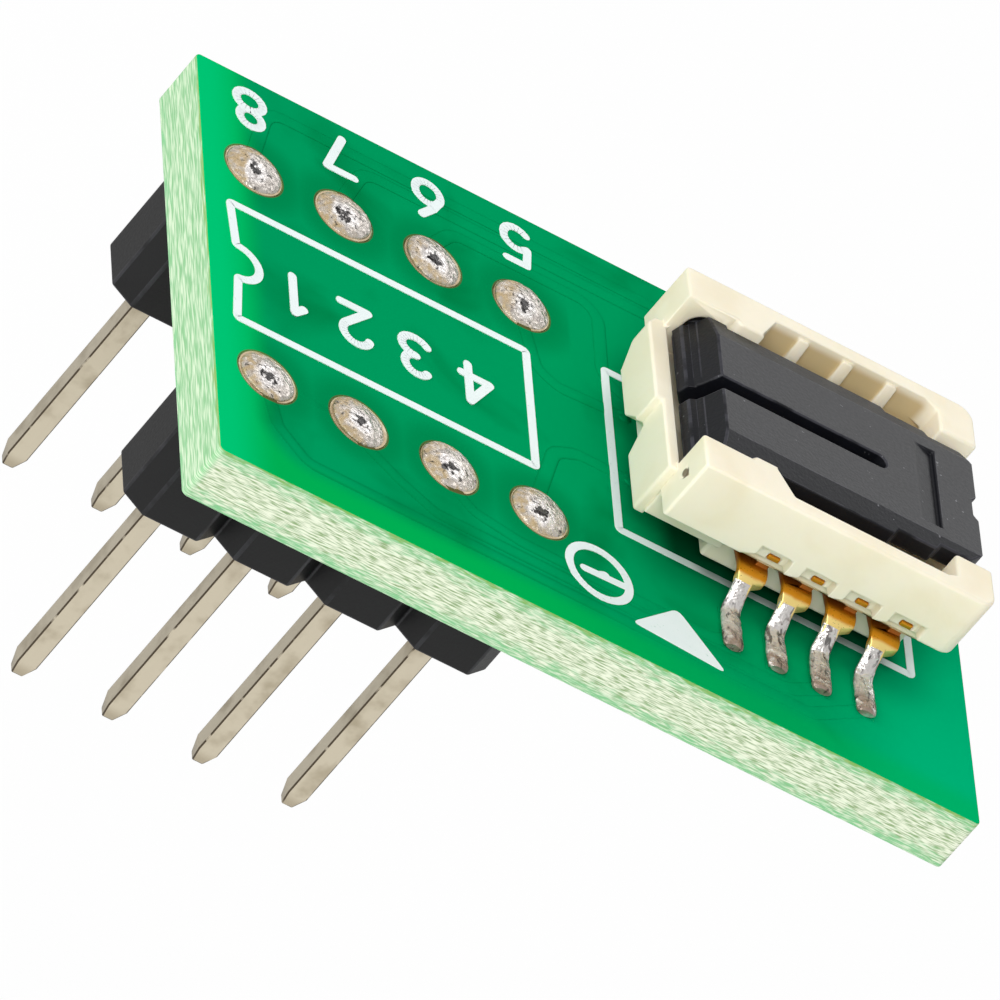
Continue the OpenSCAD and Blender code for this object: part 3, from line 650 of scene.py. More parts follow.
def pad_distance(n, place):
    """Distance in millimetres to the nearest pin, from the pins' even pitch."""
    first, second, far = (PIN_PLACES[i] / MM for i in (0, 1, -1))
    pitch = second.x - first.x
    x, y, _ = n.axes(place)
    along = n.minus(x, first.x - pitch / 2)
    inside = n.minus(n.math("WRAP", along, pitch), pitch / 2)
    past_row = n.times(n.most(n.minus(along, pitch * PIN_COUNT / 2), 0.0), 9.0)
    across = n.minus(n.absolute(y), far.y)
    return n.length(n.joined(inside, across, past_row))


def mask_material(board):
    """Green solder mask, brighter along the left and near borders where no copper lies under it."""
    material, n, place = new_material("solder_mask")
    x, y, z = n.axes(place)
    from_left = n.minus(x, LOW.x)
    rounding = board.margin_round / MM
    left = n.minus(board.left_margin / MM + rounding, from_left)
    near = n.minus(board.margin / MM + rounding, n.minus(y, LOW.y))
    away = n.length(n.vector("MAXIMUM", n.joined(left, near)))
    border = n.step(away, rounding - 0.4, rounding + 0.4)
    fade = n.spread(n.step(x, 3.0, 10.0), 1.0, 0.45)
    grain = n.group("Moulded grain", {"Vector": place, "Scale": 0.32})
    pads = pad_distance(n, place)
    # Painted shade: the mask turns darker close round each joint.
    joint_shade = n.times(n.step(pads, 1.8, 0.95), 0.6)
    clouds = n.most(n.step(grain["Broad"], 0.46, 0.76), joint_shade)
    upper = n.spread(n.step(z, TOP - 0.4, TOP - 0.1), 0.3, 1.0)
    copper = n.mix(n.times(clouds, upper), board.pour[:], board.pour_deep_and_shade[:])
    # Painted sheen: the mask turns brighter and bluer towards the socket's end.
    far_end_sheen = n.step(x, (LOW.x + HIGH.x) / 2 + 5.0, HIGH.x - 1.0)
    copper = n.mix(far_end_sheen, copper, board.pour_end_sheen[:])
    bare = n.mix(n.step(from_left, 0.2, 1.7), board.bare_left[:], board.bare[:])
    tint = n.mix(n.times(border, fade), copper, bare)
    lift = n.minus(z, TOP)
    flanks = n.times(n.step(lift, 0.001, 0.003), n.step(lift, 0.0118, 0.005))
    in_sight = n.most(n.step(x, 8.0, 4.0), n.step(y, -2.0, 1.0))
    lines = n.times(flanks, n.times(n.spread(in_sight, 0.1, 0.62), fade))
    tint = n.mix(lines, tint, board.pour_deep_and_shade[:])
    # A thin brown ring at each joint's foot: flux stain and painted contact shade.
    tint = n.mix(n.times(n.step(pads, 0.86, 0.82), 0.8), tint, board.flux_and_shade_halo[:])
    shaded = n.group("Socket shade", {
        "Vector": place,
        "Color": tint,
        "Dark": board.shade[:],
        "Middle": (SOCKET_X - 0.3, 0.0, TOP),
        "Half": (2.9, 2.7, 0.1),
    })
    return dress(material, {
        "Base Color": shaded["Color"],
        "Roughness": n.spread(grain["Fine"], 0.26, 0.4),
        "Normal": n.bump(n.noise(place, 6.0), 0.1, 0.02),
        "Specular IOR Level": 0.0,
    })


def laminate_material(board):
    """Cut edge of the board: pale glass fibre with fine green and olive streaks along the edge."""
    material, n, place = new_material("laminate_edge")
    x, _, z = n.axes(place)
    fibres = n.noise(n.vector("MULTIPLY", place, (2.9, 1.5, 27.0)), 1.0, 1.5)
    threads = n.noise(n.vector("MULTIPLY", place, (3.0, 1.0, 13.0)), 1.0, 3.0)
    body = n.mix(n.step(fibres, 0.3, 0.62), board.pit[:], board.fibre[:])
    aside = n.absolute(n.minus(z, (LOW.z + TOP) / 2))
    outer = n.step(n.plus(aside, threads), 0.78, 1.3)
    left = n.times(n.step(x, LOW.x + 0.25, LOW.x + 0.05), 0.72)
    thinned = n.times(n.most(outer, left), n.spread(n.step(fibres, 0.4, 0.66), 1.0, 0.45))
    body = n.mix(thinned, body, board.resin[:])
    ragged = n.plus(z, n.times(threads, 0.5))
    fringe = n.times(n.step(ragged, TOP + 0.12, TOP + 0.27), 0.75)
    return dress(material, {
        "Base Color": n.mix(fringe, body, board.fringe[:]),
        "Roughness": n.spread(fibres, 0.5, 0.75),
        "Specular IOR Level": 0.2,
        "Normal": n.bump(fibres, 0.35, 0.03),
    })


def moulded_material(name, body, deep, edge, scale, rough, bump, edge_wear_and_light=0.8):
    """Moulded plastic with soft clouds, fine grain and paler edges of painted highlight and wear."""
    material, n, place = new_material(name)
    grain = n.group("Moulded grain", {"Vector": place, "Scale": scale})
    tint = n.mix(n.step(grain["Broad"], 0.4, 0.75), body[:], deep[:])
    edges = {"Vector": place, "Color": tint, "Edge Color": edge[:], "Amount": edge_wear_and_light}
    return dress(material, {
        "Base Color": n.group("Rubbed edge", edges)["Color"],
        "Roughness": n.spread(grain["Fine"], *rough),
        "Normal": n.bump(grain["Height"], bump, 0.012),
    })


def pin_material(header):
    """Drawn pin plating with faint streaks along the pin."""
    material, n, place = new_material("pin_plating")
    streaks = n.noise(n.vector("MULTIPLY", place, (14.0, 14.0, 0.8)), 1.0, 3.0)
    stains = n.times(n.step(n.noise(place, 1.3, 3.0), 0.45, 0.75), 0.8)
    # Plating duller in the last half millimetre by the tip.
    near_tip = n.times(n.step(n.axes(place)["Z"], PIN_TIP + 0.55, PIN_TIP + 0.1), 0.7)
    plated = n.mix(n.most(stains, near_tip), header.pin[:], header.pin_dull[:])
    # Painted shade: dark lines along the pins' rounded edges.
    edges = {"Vector": place, "Color": plated, "Edge Color": header.pin_edge_shade[:], "Amount": 4.0}
    return dress(material, {
        "Base Color": n.group("Rubbed edge", edges)["Color"],
        "Metallic": 0.9,
        "Roughness": n.spread(streaks, 0.24, 0.42),
        "Normal": n.bump(streaks, 0.25, 0.01),
    })


def joint_material(solder):
    """Solder of the pin joints: painted highlight of pale solder round a dark pit of painted shade, tan flux
    on one side, with dark specks.
    """
    material, n, place = new_material("joint_solder")
    spot = n.out("ShaderNodeAttribute", None, "Vector", attribute_name="joint_place")
    away = n.length(spot)
    side = n.vector("DOT_PRODUCT", spot, (-0.9, 0.45, 0.0), "Value")
    wander = n.noise(place, 1.7, 3.0, 0.6)
    fluxed = n.plus(n.math("MULTIPLY_ADD", side, 0.45, away), n.times(wander, 1.6))
    thin = n.spread(n.step(n.noise(place, 5.5, 3.0), 0.36, 0.6), 0.3, 1.0)
    from_pit = n.length(n.vector("ADD", spot, (0.1, 0.18, 0.0)))
    # Painted highlight: brighter solder in the joint's middle.
    core_highlight = n.step(n.plus(from_pit, n.times(wander, 0.4)), 0.78, 0.55)
    tin = n.mix(core_highlight, solder.joint[:], solder.tin[:])
    share = n.times(n.step(fluxed, 1.34, 1.7), thin)
    tinned = n.tinned(place, tin, solder.shade[:], solder.flux[:], share)
    # Painted shade of the pit in the joint's middle.
    pit = n.step(n.plus(from_pit, n.times(n.noise(place, 6.0, 3.0), 0.9)), 0.72, 0.62)
    sparse = n.minus(n.noise(place, 8.0, 3.0, 0.5), n.times(away, 0.09))
    specks = n.times(n.step(sparse, 0.55, 0.61), 0.85)
    return dress(material, {
        "Base Color": n.mix(n.most(pit, specks), tinned["Color"], solder.dark_and_painted_shade[:]),
        "Metallic": n.spread(tinned["Flux Mask"], 0.45, 0.15),
        "Roughness": n.spread(tinned["Flux Mask"], 0.2, 0.36),
        "Normal": n.bump(tinned["Height"], 0.7, 0.07),
    })


def tail_material(solder):
    """Solder-coated tails of the contacts, with dark streaks of painted reflection, browner with flux towards
    the foot.
    """
    material, n, place = new_material("tail_solder")
    across = n.absolute(n.axes(place)["Y"])
    foot = n.spread(n.step(across, 4.5, 5.1), 0.0, 0.9)
    tinned = n.tinned(place, solder.tin[:], solder.shade[:], solder.brown[:], foot)
    # Painted reflection: dark streaks along the shiny solder.
    drawn = n.noise(n.vector("MULTIPLY", place, (8.0, 2.6, 3.4)), 1.0, 3.0, 0.5)
    streaks = n.times(n.step(drawn, 0.56, 0.66), 0.75)
    return dress(material, {
        "Base Color": n.mix(streaks, tinned["Color"], solder.dark_and_painted_shade[:]),
        "Metallic": n.spread(tinned["Flux Mask"], 0.7, 0.4),
        "Roughness": n.spread(tinned["Flux Mask"], 0.16, 0.3),
        "Normal": n.bump(tinned["Height"], 0.6, 0.06),
    })


def ring_material(solder):
    """Rims of the plated holes, clouded with flux."""
    material, n, place = new_material("hole_rim")
    tinned = n.tinned(place, solder.ring[:], solder.ring_shade[:], solder.flux[:], 0.75)
    return dress(material, {
        "Base Color": tinned["Color"],
        "Metallic": 0.2,
        "Roughness": n.spread(tinned["Flux Mask"], 0.45, 0.6),
        "Normal": n.bump(tinned["Height"], 0.4, 0.02),
    })


def gold_material(socket):
    """Stamped and plated contacts: painted shade as browner gold under the socket, painted highlight as pale
    gold at the lip of the shoulder.
    """
    material, n, place = new_material("contact_gold")
    grain = n.group("Moulded grain", {"Vector": place, "Scale": 1.4})
    across = n.absolute(n.axes(place)["Y"])
    wavy = n.plus(across, n.times(grain["Broad"], 0.12))
    plated = n.mix(n.step(wavy, 3.22, 3.56), socket.gold_shaded[:], socket.gold[:])
    plated = n.mix(n.step(wavy, 3.6, 3.68), plated, socket.gold_lit[:])
    return dress(material, {
        "Base Color": n.mix(n.step(across, 3.78, 3.9), plated, socket.tinned[:]),
        "Metallic": n.spread(grain["Broad"], 0.45, 0.65),
        "Roughness": n.spread(grain["Fine"], 0.22, 0.38),
        "Normal": n.bump(grain["Fine"], 0.2, 0.01),
    })


def ink_material(settings):
    """Screen-printed ink: matt white with tiny pinholes of green."""
    material, n, place = new_material("printing_ink")
    body = n.noise(place, 2.0, 2.0)
    white = n.mix(n.times(body, 0.3), settings.ink[:], settings.ink_thin[:])
    holes = n.times(n.step(n.noise(place, 11.0, 3.0), 0.66, 0.74), 0.5)
    shaded = n.group("Socket shade", {
        "Vector": place,
        "Color": n.mix(holes, white, settings.ink_hole[:]),
        "Dark": settings.ink_shade[:],
        "Middle": (SOCKET_X, 0.0, TOP),
        "Half": (2.3, 2.7, 0.1),
    })
    return dress(material, {
        "Base Color": shaded["Color"],
        "Roughness": n.spread(body, 0.45, 0.65),
        "Normal": n.bump(body, 0.3, 0.01),
    })


def link(piece):
    """Put an object in the scene."""
    bpy.context.scene.collection.objects.link(piece)
    return piece


def plain_mesh(source, name):
    """A plain mesh piece from an object with its modifiers, which is then removed."""
    evaluated = source.evaluated_get(bpy.context.evaluated_depsgraph_get())
    mesh = bpy.data.meshes.new_from_object(evaluated)
    data = source.data
    bpy.data.objects.remove(source)
    if isinstance(data, bpy.types.Mesh):
        bpy.data.meshes.remove(data)
    else:
        bpy.data.curves.remove(data)
    mesh.name = name
    return link(bpy.data.objects.new(name, mesh))


def mark_outer_edges(mesh, marker):
    """Keep on each rounding face of an outer edge that it is one, and give all faces one slot."""
    shell = bmesh.new()
    shell.from_mesh(mesh)
    layer = shell.faces.layers.float.new("outer_edge")
    for face in shell.faces:
        if face.material_index != marker:
            continue
        turns = [e.calc_face_angle_signed(0.0) for e in face.edges if len(e.link_faces) == 2]
        face[layer] = 1.0 if sum(turns) > 0 else 0.0
        face.material_index = 0
    shell.to_mesh(mesh)
    shell.free()


def clearance(edge, face):
    """Room across a face from one of its edges: to the edges it doesn't touch, and along those it does."""
    ends = set(edge.verts)
    start, end = (v.co for v in edge.verts)
    along = (end - start).normalized()
    nearest = math.inf
    for other in face.edges:
        if other is edge:
            continue
        first, second = (v.co for v in other.verts)
        if ends & set(other.verts):
            across = (second - first).cross(along).length
            if across > STEEP_SIDE * other.calc_length():
                nearest = min(nearest, across)
            continue
        for sample in EDGE_SAMPLES:
            spot = start.lerp(end, sample)
            share = intersect_point_line(spot, first, second)[1]
            gap = first.lerp(second, min(max(share, 0.0), 1.0)) - spot
            if abs(gap.normalized().dot(along)) < ASIDE:
                nearest = min(nearest, gap.length)
    return nearest


def weigh_edges(shell, radius, sharp):
    """Give each edge over the sharp angle the share of the rounding its faces have room for."""
    layer = shell.edges.layers.float.new("bevel_weight_edge")
    for edge in shell.edges:
        if len(edge.link_faces) == 2 and edge.calc_face_angle(0.0) > math.radians(sharp):
            room = min(clearance(edge, face) for face in edge.link_faces)
            edge[layer] = min(1.0, ROOM_SHARE * room / radius)


def rounded_copy(name, nodes, radius, segments=3, sharp=30):
    """One piece from copies of CAD nodes, merged, with all sharp edges rounded."""
    mesh = bpy.data.meshes.new(name)
    shell = bmesh.new()
    for node in nodes:
        shell.from_mesh(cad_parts[node].data)
    bmesh.ops.remove_doubles(shell, verts=shell.verts, dist=WELD)
    flat = math.radians(FLAT_ANGLE)
    bmesh.ops.dissolve_limit(shell, angle_limit=flat, verts=shell.verts, edges=shell.edges)
    for face in shell.faces:
        face.smooth = True
        face.material_index = 0
    weigh_edges(shell, radius, sharp)
    shell.to_mesh(mesh)
    shell.free()
    source = link(bpy.data.objects.new(name + "_source", mesh))
    for _ in range(ROUNDING_SLOT + 1):
        mesh.materials.append(None)
    bevel = source.modifiers.new("Rounding", "BEVEL")
    bevel.width = radius
    bevel.segments = segments
    bevel.limit_method = "WEIGHT"
    bevel.use_clamp_overlap = False
    bevel.loop_slide = False
    bevel.material = ROUNDING_SLOT
    normals = source.modifiers.new("Even shading", "WEIGHTED_NORMAL")
    normals.keep_sharp = True
    piece = plain_mesh(source, name)
    mark_outer_edges(piece.data, ROUNDING_SLOT)
    piece.data.materials.clear()
    return piece


def finish_piece(piece, body, replaced=()):
    """Hand a finished piece to its CAD body."""
    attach(piece, body)
    if replaced:
        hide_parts(*replaced)


def dress_nodes(name, nodes, material, body, slot, radius, **rounding):
    """Put a rounded copy in a material in the place of CAD nodes."""
    piece = rounded_copy(name, nodes, radius, **rounding)
    piece.data.materials.append(material)
    finish_piece(piece, body, nodes)


def paint_node(node, material):
    """Give a CAD node that stays as it is a material."""
    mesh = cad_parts[node].data
    mesh.materials.clear()
    mesh.materials.append(material)


def paths_object(name, paths, closed=False):
    """A curve object of paths in millimetres; a path without heights lies on the board's face."""
    curve = bpy.data.curves.new(name, "CURVE")
    curve.dimensions = "3D"
    for i, points in enumerate(paths):
        spline = curve.splines.new("POLY")
        spline.points.add(len(points) - 1)
        for spot, place in zip(spline.points, points):
            z = place[2] * MM if len(place) == 3 else BOARD_TOP + i * LAYER_STEP
            spot.co = (place[0] * MM, place[1] * MM, z, 1.0)
        spline.use_cyclic_u = closed
    return link(bpy.data.objects.new(name, curve))


def run_tree(source, tree, values, name):
    """Run a node tree on an object and return the result as a plain mesh piece."""
    modifier = source.modifiers.new(tree.name, "NODES")
    modifier.node_group = tree
    inputs = {s.name: s.identifier for s in tree.interface.items_tree if s.in_out == "INPUT"}
    for key, value in values.items():
        modifier[inputs[key]] = value
    return plain_mesh(source, name)


def line_tree(name):
    """Node tree that lays a line of ink or copper along each path."""
    kinds = {"Width": "Float", "Height": "Float", "Corner": "Float", "Domed": "Bool"}
    n, given, result = new_shaping(name, **kinds)
    bends = {"Curve": given["Geometry"], "Radius": given["Corner"], "Count": 4, "Limit Radius": True}
    rounded = n.out("GeometryNodeFilletCurve", bends, mode="POLY")
    upright = n.out("GeometryNodeSetCurveNormal", {"Curve": rounded}, mode="Z_UP")
    half = n.times(given["Width"], 0.5)
    tall = n.times(given["Height"], 2.0)
    box = {"Width": given["Width"], "Height": tall}
    flat = n.out("GeometryNodeCurvePrimitiveQuadrilateral", box, "Curve")
    circle = n.out("GeometryNodeCurvePrimitiveCircle", {"Resolution": 16, "Radius": 1.0}, "Curve")
    oval = n.joined(half, given["Height"], 1.0)
    dome = n.out("GeometryNodeTransform", {"Geometry": circle, "Scale": oval})
    either = {"Switch": given["Domed"], "False": flat, "True": dome}
    profile = n.out("GeometryNodeSwitch", either, input_type="GEOMETRY")
    sweep = {"Curve": upright, "Profile Curve": profile, "Fill Caps": True}
    swept = n.out("GeometryNodeCurveToMesh", sweep)
    disc = {"Vertices": 16, "Radius": half, "Depth": n.times(tall, 0.94)}
    cap = n.out("GeometryNodeMeshCylinder", disc, "Mesh")
    ends = n.out("GeometryNodeCurveEndpointSelection", {"Start Size": 1, "End Size": 1})
    caps = n.out("GeometryNodeInstanceOnPoints", {"Points": rounded, "Selection": ends, "Instance": cap})
    both = n.add("GeometryNodeJoinGeometry")
    for part in (swept, caps):
        n.tree.links.new(part, both.inputs[0])
    real = n.out("GeometryNodeRealizeInstances", {0: both.outputs[0]})
    faceted = n.out("GeometryNodeSetShadeSmooth", {"Geometry": real, "Shade Smooth": given["Domed"]})
    fill(n.tree, result, {"Geometry": n.painted(faceted, given["Material"])})
    return n.tree


def lay_lines(name, paths, closed=False, **values):
    """Lay lines of ink or copper on the board as one piece."""
    tree = bpy.data.node_groups.get("Laid line") or line_tree("Laid line")
    source = paths_object(f"{name}_source", paths, closed)
    finish_piece(run_tree(source, tree, values, name), "adapter")


def numeral_paths(digit, x, y, height):
    """Strokes of a numeral, turned to be read from the far side, centred on x and y."""
    return [
        [(x - (u - NUMERAL_W / 2) * height, y - (v - 0.5) * height) for u, v in stroke]
        for stroke in NUMERALS[digit]
    ]


class ADAPTER_OT_board(bpy.types.Operator):
    """Dress the circuit board in solder mask, with fibre along its cut edges"""

    bl_idname = "adapter.board"
    bl_label = "Circuit board"

    def execute(self, context):
        settings = context.scene.adapter.board
        piece = rounded_copy("board", ["circuit_board"], settings.edge_round, 2)
        piece.data.materials.append(mask_material(settings))
        piece.data.materials.append(laminate_material(settings))
        for face in piece.data.polygons:
            face.material_index = 0 if abs(face.normal.z) > MASK_LEVEL else 1
        finish_piece(piece, "adapter", ["circuit_board"])
        return {"FINISHED"}


class ADAPTER_OT_traces(bpy.types.Operator):
    """Lay the copper lines that lift the mask between the pins and the socket"""

    bl_idname = "adapter.traces"
    bl_label = "Copper lines"

    def execute(self, context):
        settings = context.scene.adapter.print
        lay_lines(
            "traces",
            TRACE_ROUTES,
            Width=settings.trace_w,
            Height=settings.trace_h,
            Corner=TRACE_CORNER,
            Domed=True,
            Material=bpy.data.materials["solder_mask"],
        )
        return {"FINISHED"}


class ADAPTER_OT_printing(bpy.types.Operator):
    """Print the outlines, the pin numbers and the marks of the first pin"""

    bl_idname = "adapter.printing"
    bl_label = "White printing"

    def execute(self, context):
        settings = context.scene.adapter.print
        ink = {"Height": settings.ink_h, "Domed": False, "Material": ink_material(settings)}
        lay_lines("printed_outlines", OUTLINES, True, Width=settings.line_w, Corner=OUTLINE_CORNER, **ink)
        strokes = [*MARK]
        for digit, place in enumerate(PIN_PLACES, 1):
            if place.y > 0:
                strokes += numeral_paths(digit, place.x / MM, FAR_ROW_Y, settings.numeral_h / MM)
        for digit, x in MIDDLE_ROW.items():
            strokes += numeral_paths(digit, x, MIDDLE_ROW_Y, settings.middle_h / MM)
        lay_lines("printed_numbers", strokes, Width=settings.stroke_w, Corner=NUMERAL_CORNER, **ink)
        arrow = self.arrow(settings.ink_h)
        arrow.data.materials.append(ink["Material"])
        finish_piece(arrow, "adapter")
        return {"FINISHED"}

    def arrow(self, height):
        """A filled triangle with rounded corners that points at the socket's first contact."""
        corners = [Vector(c) for c in ARROW]
        points = []
        for i, corner in enumerate(corners):
            before = (corners[i - 1] - corner).normalized() * ARROW_ROUND
            after = (corners[(i + 1) % 3] - corner).normalized() * ARROW_ROUND
            for step in range(ARROW_STEPS + 1):
                t = step / ARROW_STEPS
                start = corner + before * (1 - t)
                points.append(start.lerp(corner + after * t, t))
        count = len(points)
        levels = (BOARD_TOP, BOARD_TOP + height)
        rings = [(p.x * MM, p.y * MM, level) for level in levels for p in points]
        below, above = range(count), range(count, 2 * count)
        sides = [(i, (i + 1) % count, (i + 1) % count + count, i + count) for i in below]
        mesh = bpy.data.meshes.new("printed_arrow")
        mesh.from_pydata(rings, [], [tuple(reversed(below)), tuple(above), *sides])
        return link(bpy.data.objects.new("printed_arrow", mesh))


class ADAPTER_OT_headers(bpy.types.Operator):
    """Dress the two header strips and their pins"""

    bl_idname = "adapter.headers"
    bl_label = "Pin headers"

    def execute(self, context):
        settings = context.scene.adapter.header
        colours = (settings.plastic, settings.plastic_deep, settings.plastic_edge_highlight)
        plastic = moulded_material("header_plastic", *colours, scale=0.9, rough=(0.38, 0.55), bump=0.35)
        dress(plastic, {"Specular IOR Level": BLACK_SPECULAR})
        for side in ("front", "rear"):
            strip = [f"header_strip_{side}"]
            dress_nodes(f"strip_{side}", strip, plastic, "adapter", "header_plastic", settings.strip_round)
        pins = numbered("header_pin", PIN_COUNT)
        dress_nodes("pins", pins, pin_material(settings), "adapter", "pin_metal", settings.pin_round)
        return {"FINISHED"}


def joint_tree():
    """Node tree that sets an uneven solder cone with a pitted top at each point."""
    kinds = {"Radius": "Float", "Height": "Float", "Lump": "Float", "Seed": "Int"}
    n, given, result = new_shaping("Solder cones", **kinds)
    cone = n.out("GeometryNodeMeshCone", {
        "Vertices": 56,
        "Side Segments": 26,
        "Fill Segments": 1,
        "Radius Top": 0.0,
        "Radius Bottom": given["Radius"],
        "Depth": given["Height"],
    }, "Mesh")
    place = n.out("GeometryNodeInputPosition")
    x, y, z = n.axes(place)
    inward = n.math("DIVIDE", z, given["Height"], clamp=True)
    height = n.times(n.curve(inward, JOINT_PROFILE), given["Height"])
    lathe = n.out("GeometryNodeSetPosition", {"Geometry": cone, "Position": n.joined(x, y, height)})
    flat = n.vector("MULTIPLY", place, (1.0, 1.0, 0.0))
    share = n.scaled(flat, n.math("DIVIDE", 1.0, given["Radius"]))
    kept = n.out(
        "GeometryNodeStoreNamedAttribute",
        {"Geometry": lathe, "Name": "joint_place", "Value": share},
        data_type="FLOAT_VECTOR",
        domain="POINT",
    )
    turn, size = (
        n.out(
            "FunctionNodeRandomValue",
            {0: low, 1: high, "Seed": given["Seed"]},
            data_type="FLOAT_VECTOR",
        )
        for low, high in (JOINT_TURN, JOINT_SIZE)
    )
    spots = {"Points": given["Geometry"], "Instance": kept, "Rotation": turn, "Scale": size}
    cones = n.out("GeometryNodeInstanceOnPoints", spots)
    solder = n.solder(cones, given["Lump"], JOINT_LUMPS, given["Material"])
    fill(n.tree, result, {"Geometry": solder})
    return n.tree


class ADAPTER_OT_joints(bpy.types.Operator):
    """Set the solder joints round the pins, and paint the plated holes and the pads"""

    bl_idname = "adapter.joints"
    bl_label = "Pin joints"

    def execute(self, context):
        settings = context.scene.adapter.solder
        rim = ring_material(settings)
        for node in numbered("plated_hole", PIN_COUNT):
            paint_node(node, rim)
        for node in numbered("contact_pad", CONTACT_COUNT):
            paint_node(node, bpy.data.materials["solder_mask"])
        nodes = numbered("pin_solder", PIN_COUNT)
        low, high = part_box(nodes[0])
        mesh = bpy.data.meshes.new("joints_source")
        mesh.from_pydata([(p.x, p.y, BOARD_TOP) for p in PIN_PLACES], [], [])
        source = link(bpy.data.objects.new("joints_source", mesh))
        values = {
            "Radius": (high.x - low.x) / 2,
            "Height": settings.joint_h,
            "Lump": settings.lump,
            "Seed": settings.seed,
            "Material": joint_material(settings),
        }
        joints = run_tree(source, joint_tree(), values, "pin_joints")
        finish_piece(joints, "adapter", nodes)
        return {"FINISHED"}


class ADAPTER_OT_socket_base(bpy.types.Operator):
    """Dress the ivory socket base"""

    bl_idname = "adapter.socket_base"
    bl_label = "Socket base"

    def execute(self, context):
        settings = context.scene.adapter.socket
        colours = (settings.ivory, settings.ivory_deep, settings.ivory_edge_highlight)
        ivory = moulded_material("base_ivory", *colours, scale=0.5, rough=(0.4, 0.58), bump=0.4, edge_wear_and_light=0.12)
        pit = Vector(settings.pit) / MM
        wall = settings.pocket_wall / MM

        # Painted shade: a dark spot in the shallow moulded pit.
        def pit_shade_share(n, place):
            away = n.length(n.vector("SUBTRACT", place, pit[:]))
            return n.times(n.step(away, 0.17, 0.13), 0.9)

        # Painted shade: tan on the pockets' inner walls, darker further down.
        def pocket_shade_share(n, place):
            x, y, z = n.axes(place)
            across = n.absolute(y)
            face = n.times(n.step(across, wall - 0.12, wall - 0.02), n.step(across, wall + 0.06, wall + 0.03))
            deep = n.step(z, SOCKET_TOP - 0.05, SOCKET_TOP - 0.3)
            inner = n.times(deep, n.step(n.absolute(n.minus(x, SOCKET_X)), 3.0, 2.6))
            return n.times(n.times(face, inner), 0.8)

        stain(ivory, pit_shade_share, settings.pit_shade[:])
        stain(ivory, pocket_shade_share, settings.pocket_shade[:])
        dress(ivory, {
            "Subsurface Weight": 0.25,
            "Subsurface Radius": (0.4 * MM, 0.32 * MM, 0.2 * MM),
            "Subsurface Scale": 1.0,
        })
        dress_nodes("base", ["socket_base"], ivory, "adapter", "base_plastic", settings.base_round)
        return {"FINISHED"}


class ADAPTER_OT_socket_lid(bpy.types.Operator):
    """Dress the black hinged lid"""

    bl_idname = "adapter.socket_lid"
    bl_label = "Socket lid"

    def execute(self, context):
        settings = context.scene.adapter.socket
        colours = (settings.lid, settings.lid_deep, settings.lid_edge_highlight)
        black = moulded_material("lid_black", *colours, scale=0.8, rough=(0.34, 0.5), bump=0.5, edge_wear_and_light=1.3)

        def dust_share(n, place):
            return n.times(n.step(n.noise(place, 6.0, 1.0), 0.74, 0.81), 0.32)

        stain(black, dust_share, settings.dust[:])
        dress(black, {"Specular IOR Level": BLACK_SPECULAR})
        dress_nodes("lid_cover", ["socket_lid"], black, "lid", "lid_plastic", settings.lid_round, sharp=9)
        return {"FINISHED"}


def tail_tree():
    """Node tree that coats each tail's path with an uneven flat bead of solder."""
    kinds = {"Width": "Float", "Thickness": "Float", "Lump": "Float"}
    n, given, result = new_shaping("Tinned tails", **kinds)
    bends = {"Curve": given["Geometry"], "Radius": TAIL_BEND, "Count": 6, "Limit Radius": True}
    curved = n.out("GeometryNodeFilletCurve", bends, mode="POLY")
    even = n.out("GeometryNodeResampleCurve", {"Curve": curved, "Count": 40}, mode="COUNT")
    upright = n.out("GeometryNodeSetCurveNormal", {"Curve": even}, mode="Z_UP")
    swell = n.curve(n.out("GeometryNodeSplineParameter", socket="Factor"), TAIL_SWELL)
    sized = n.out("GeometryNodeSetCurveRadius", {"Curve": upright, "Radius": swell})
    circle = n.out("GeometryNodeCurvePrimitiveCircle", {"Resolution": 20, "Radius": 0.5}, "Curve")
    oval = n.joined(given["Width"], given["Thickness"], 1.0)
    profile = n.out("GeometryNodeTransform", {"Geometry": circle, "Scale": oval})
    sweep = {"Curve": sized, "Profile Curve": profile, "Scale": swell, "Fill Caps": True}
    bead = n.out("GeometryNodeCurveToMesh", sweep)
    fill(n.tree, result, {"Geometry": n.solder(bead, given["Lump"], TAIL_LUMPS, given["Material"])})
    return n.tree


class ADAPTER_OT_contacts(bpy.types.Operator):
    """Dress the gold contacts and coat their tails with solder"""

    bl_idname = "adapter.contacts"
    bl_label = "Socket contacts"

    def execute(self, context):
        socket = context.scene.adapter.socket
        solder = context.scene.adapter.solder
        nodes = numbered("contact", CONTACT_COUNT)
        gold = gold_material(socket)
        dress_nodes("contacts", nodes, gold, "adapter", "contact_gold", socket.contact_round, segments=2)
        paths = []
        for pad in PAD_PLACES:
            side = math.copysign(1, pad.y)
            paths.append([(pad.x / MM, side * y, TOP + z) for y, z in TAIL_ROUTE])
        values = {
            "Width": solder.tail_w,
            "Thickness": solder.tail_t,
            "Lump": solder.tail_lump,
            "Material": tail_material(solder),
        }
        tails = run_tree(paths_object("tails_source", paths), tail_tree(), values, "tinned_tails")
        finish_piece(tails, "adapter", numbered("contact_solder", CONTACT_COUNT))
        return {"FINISHED"}


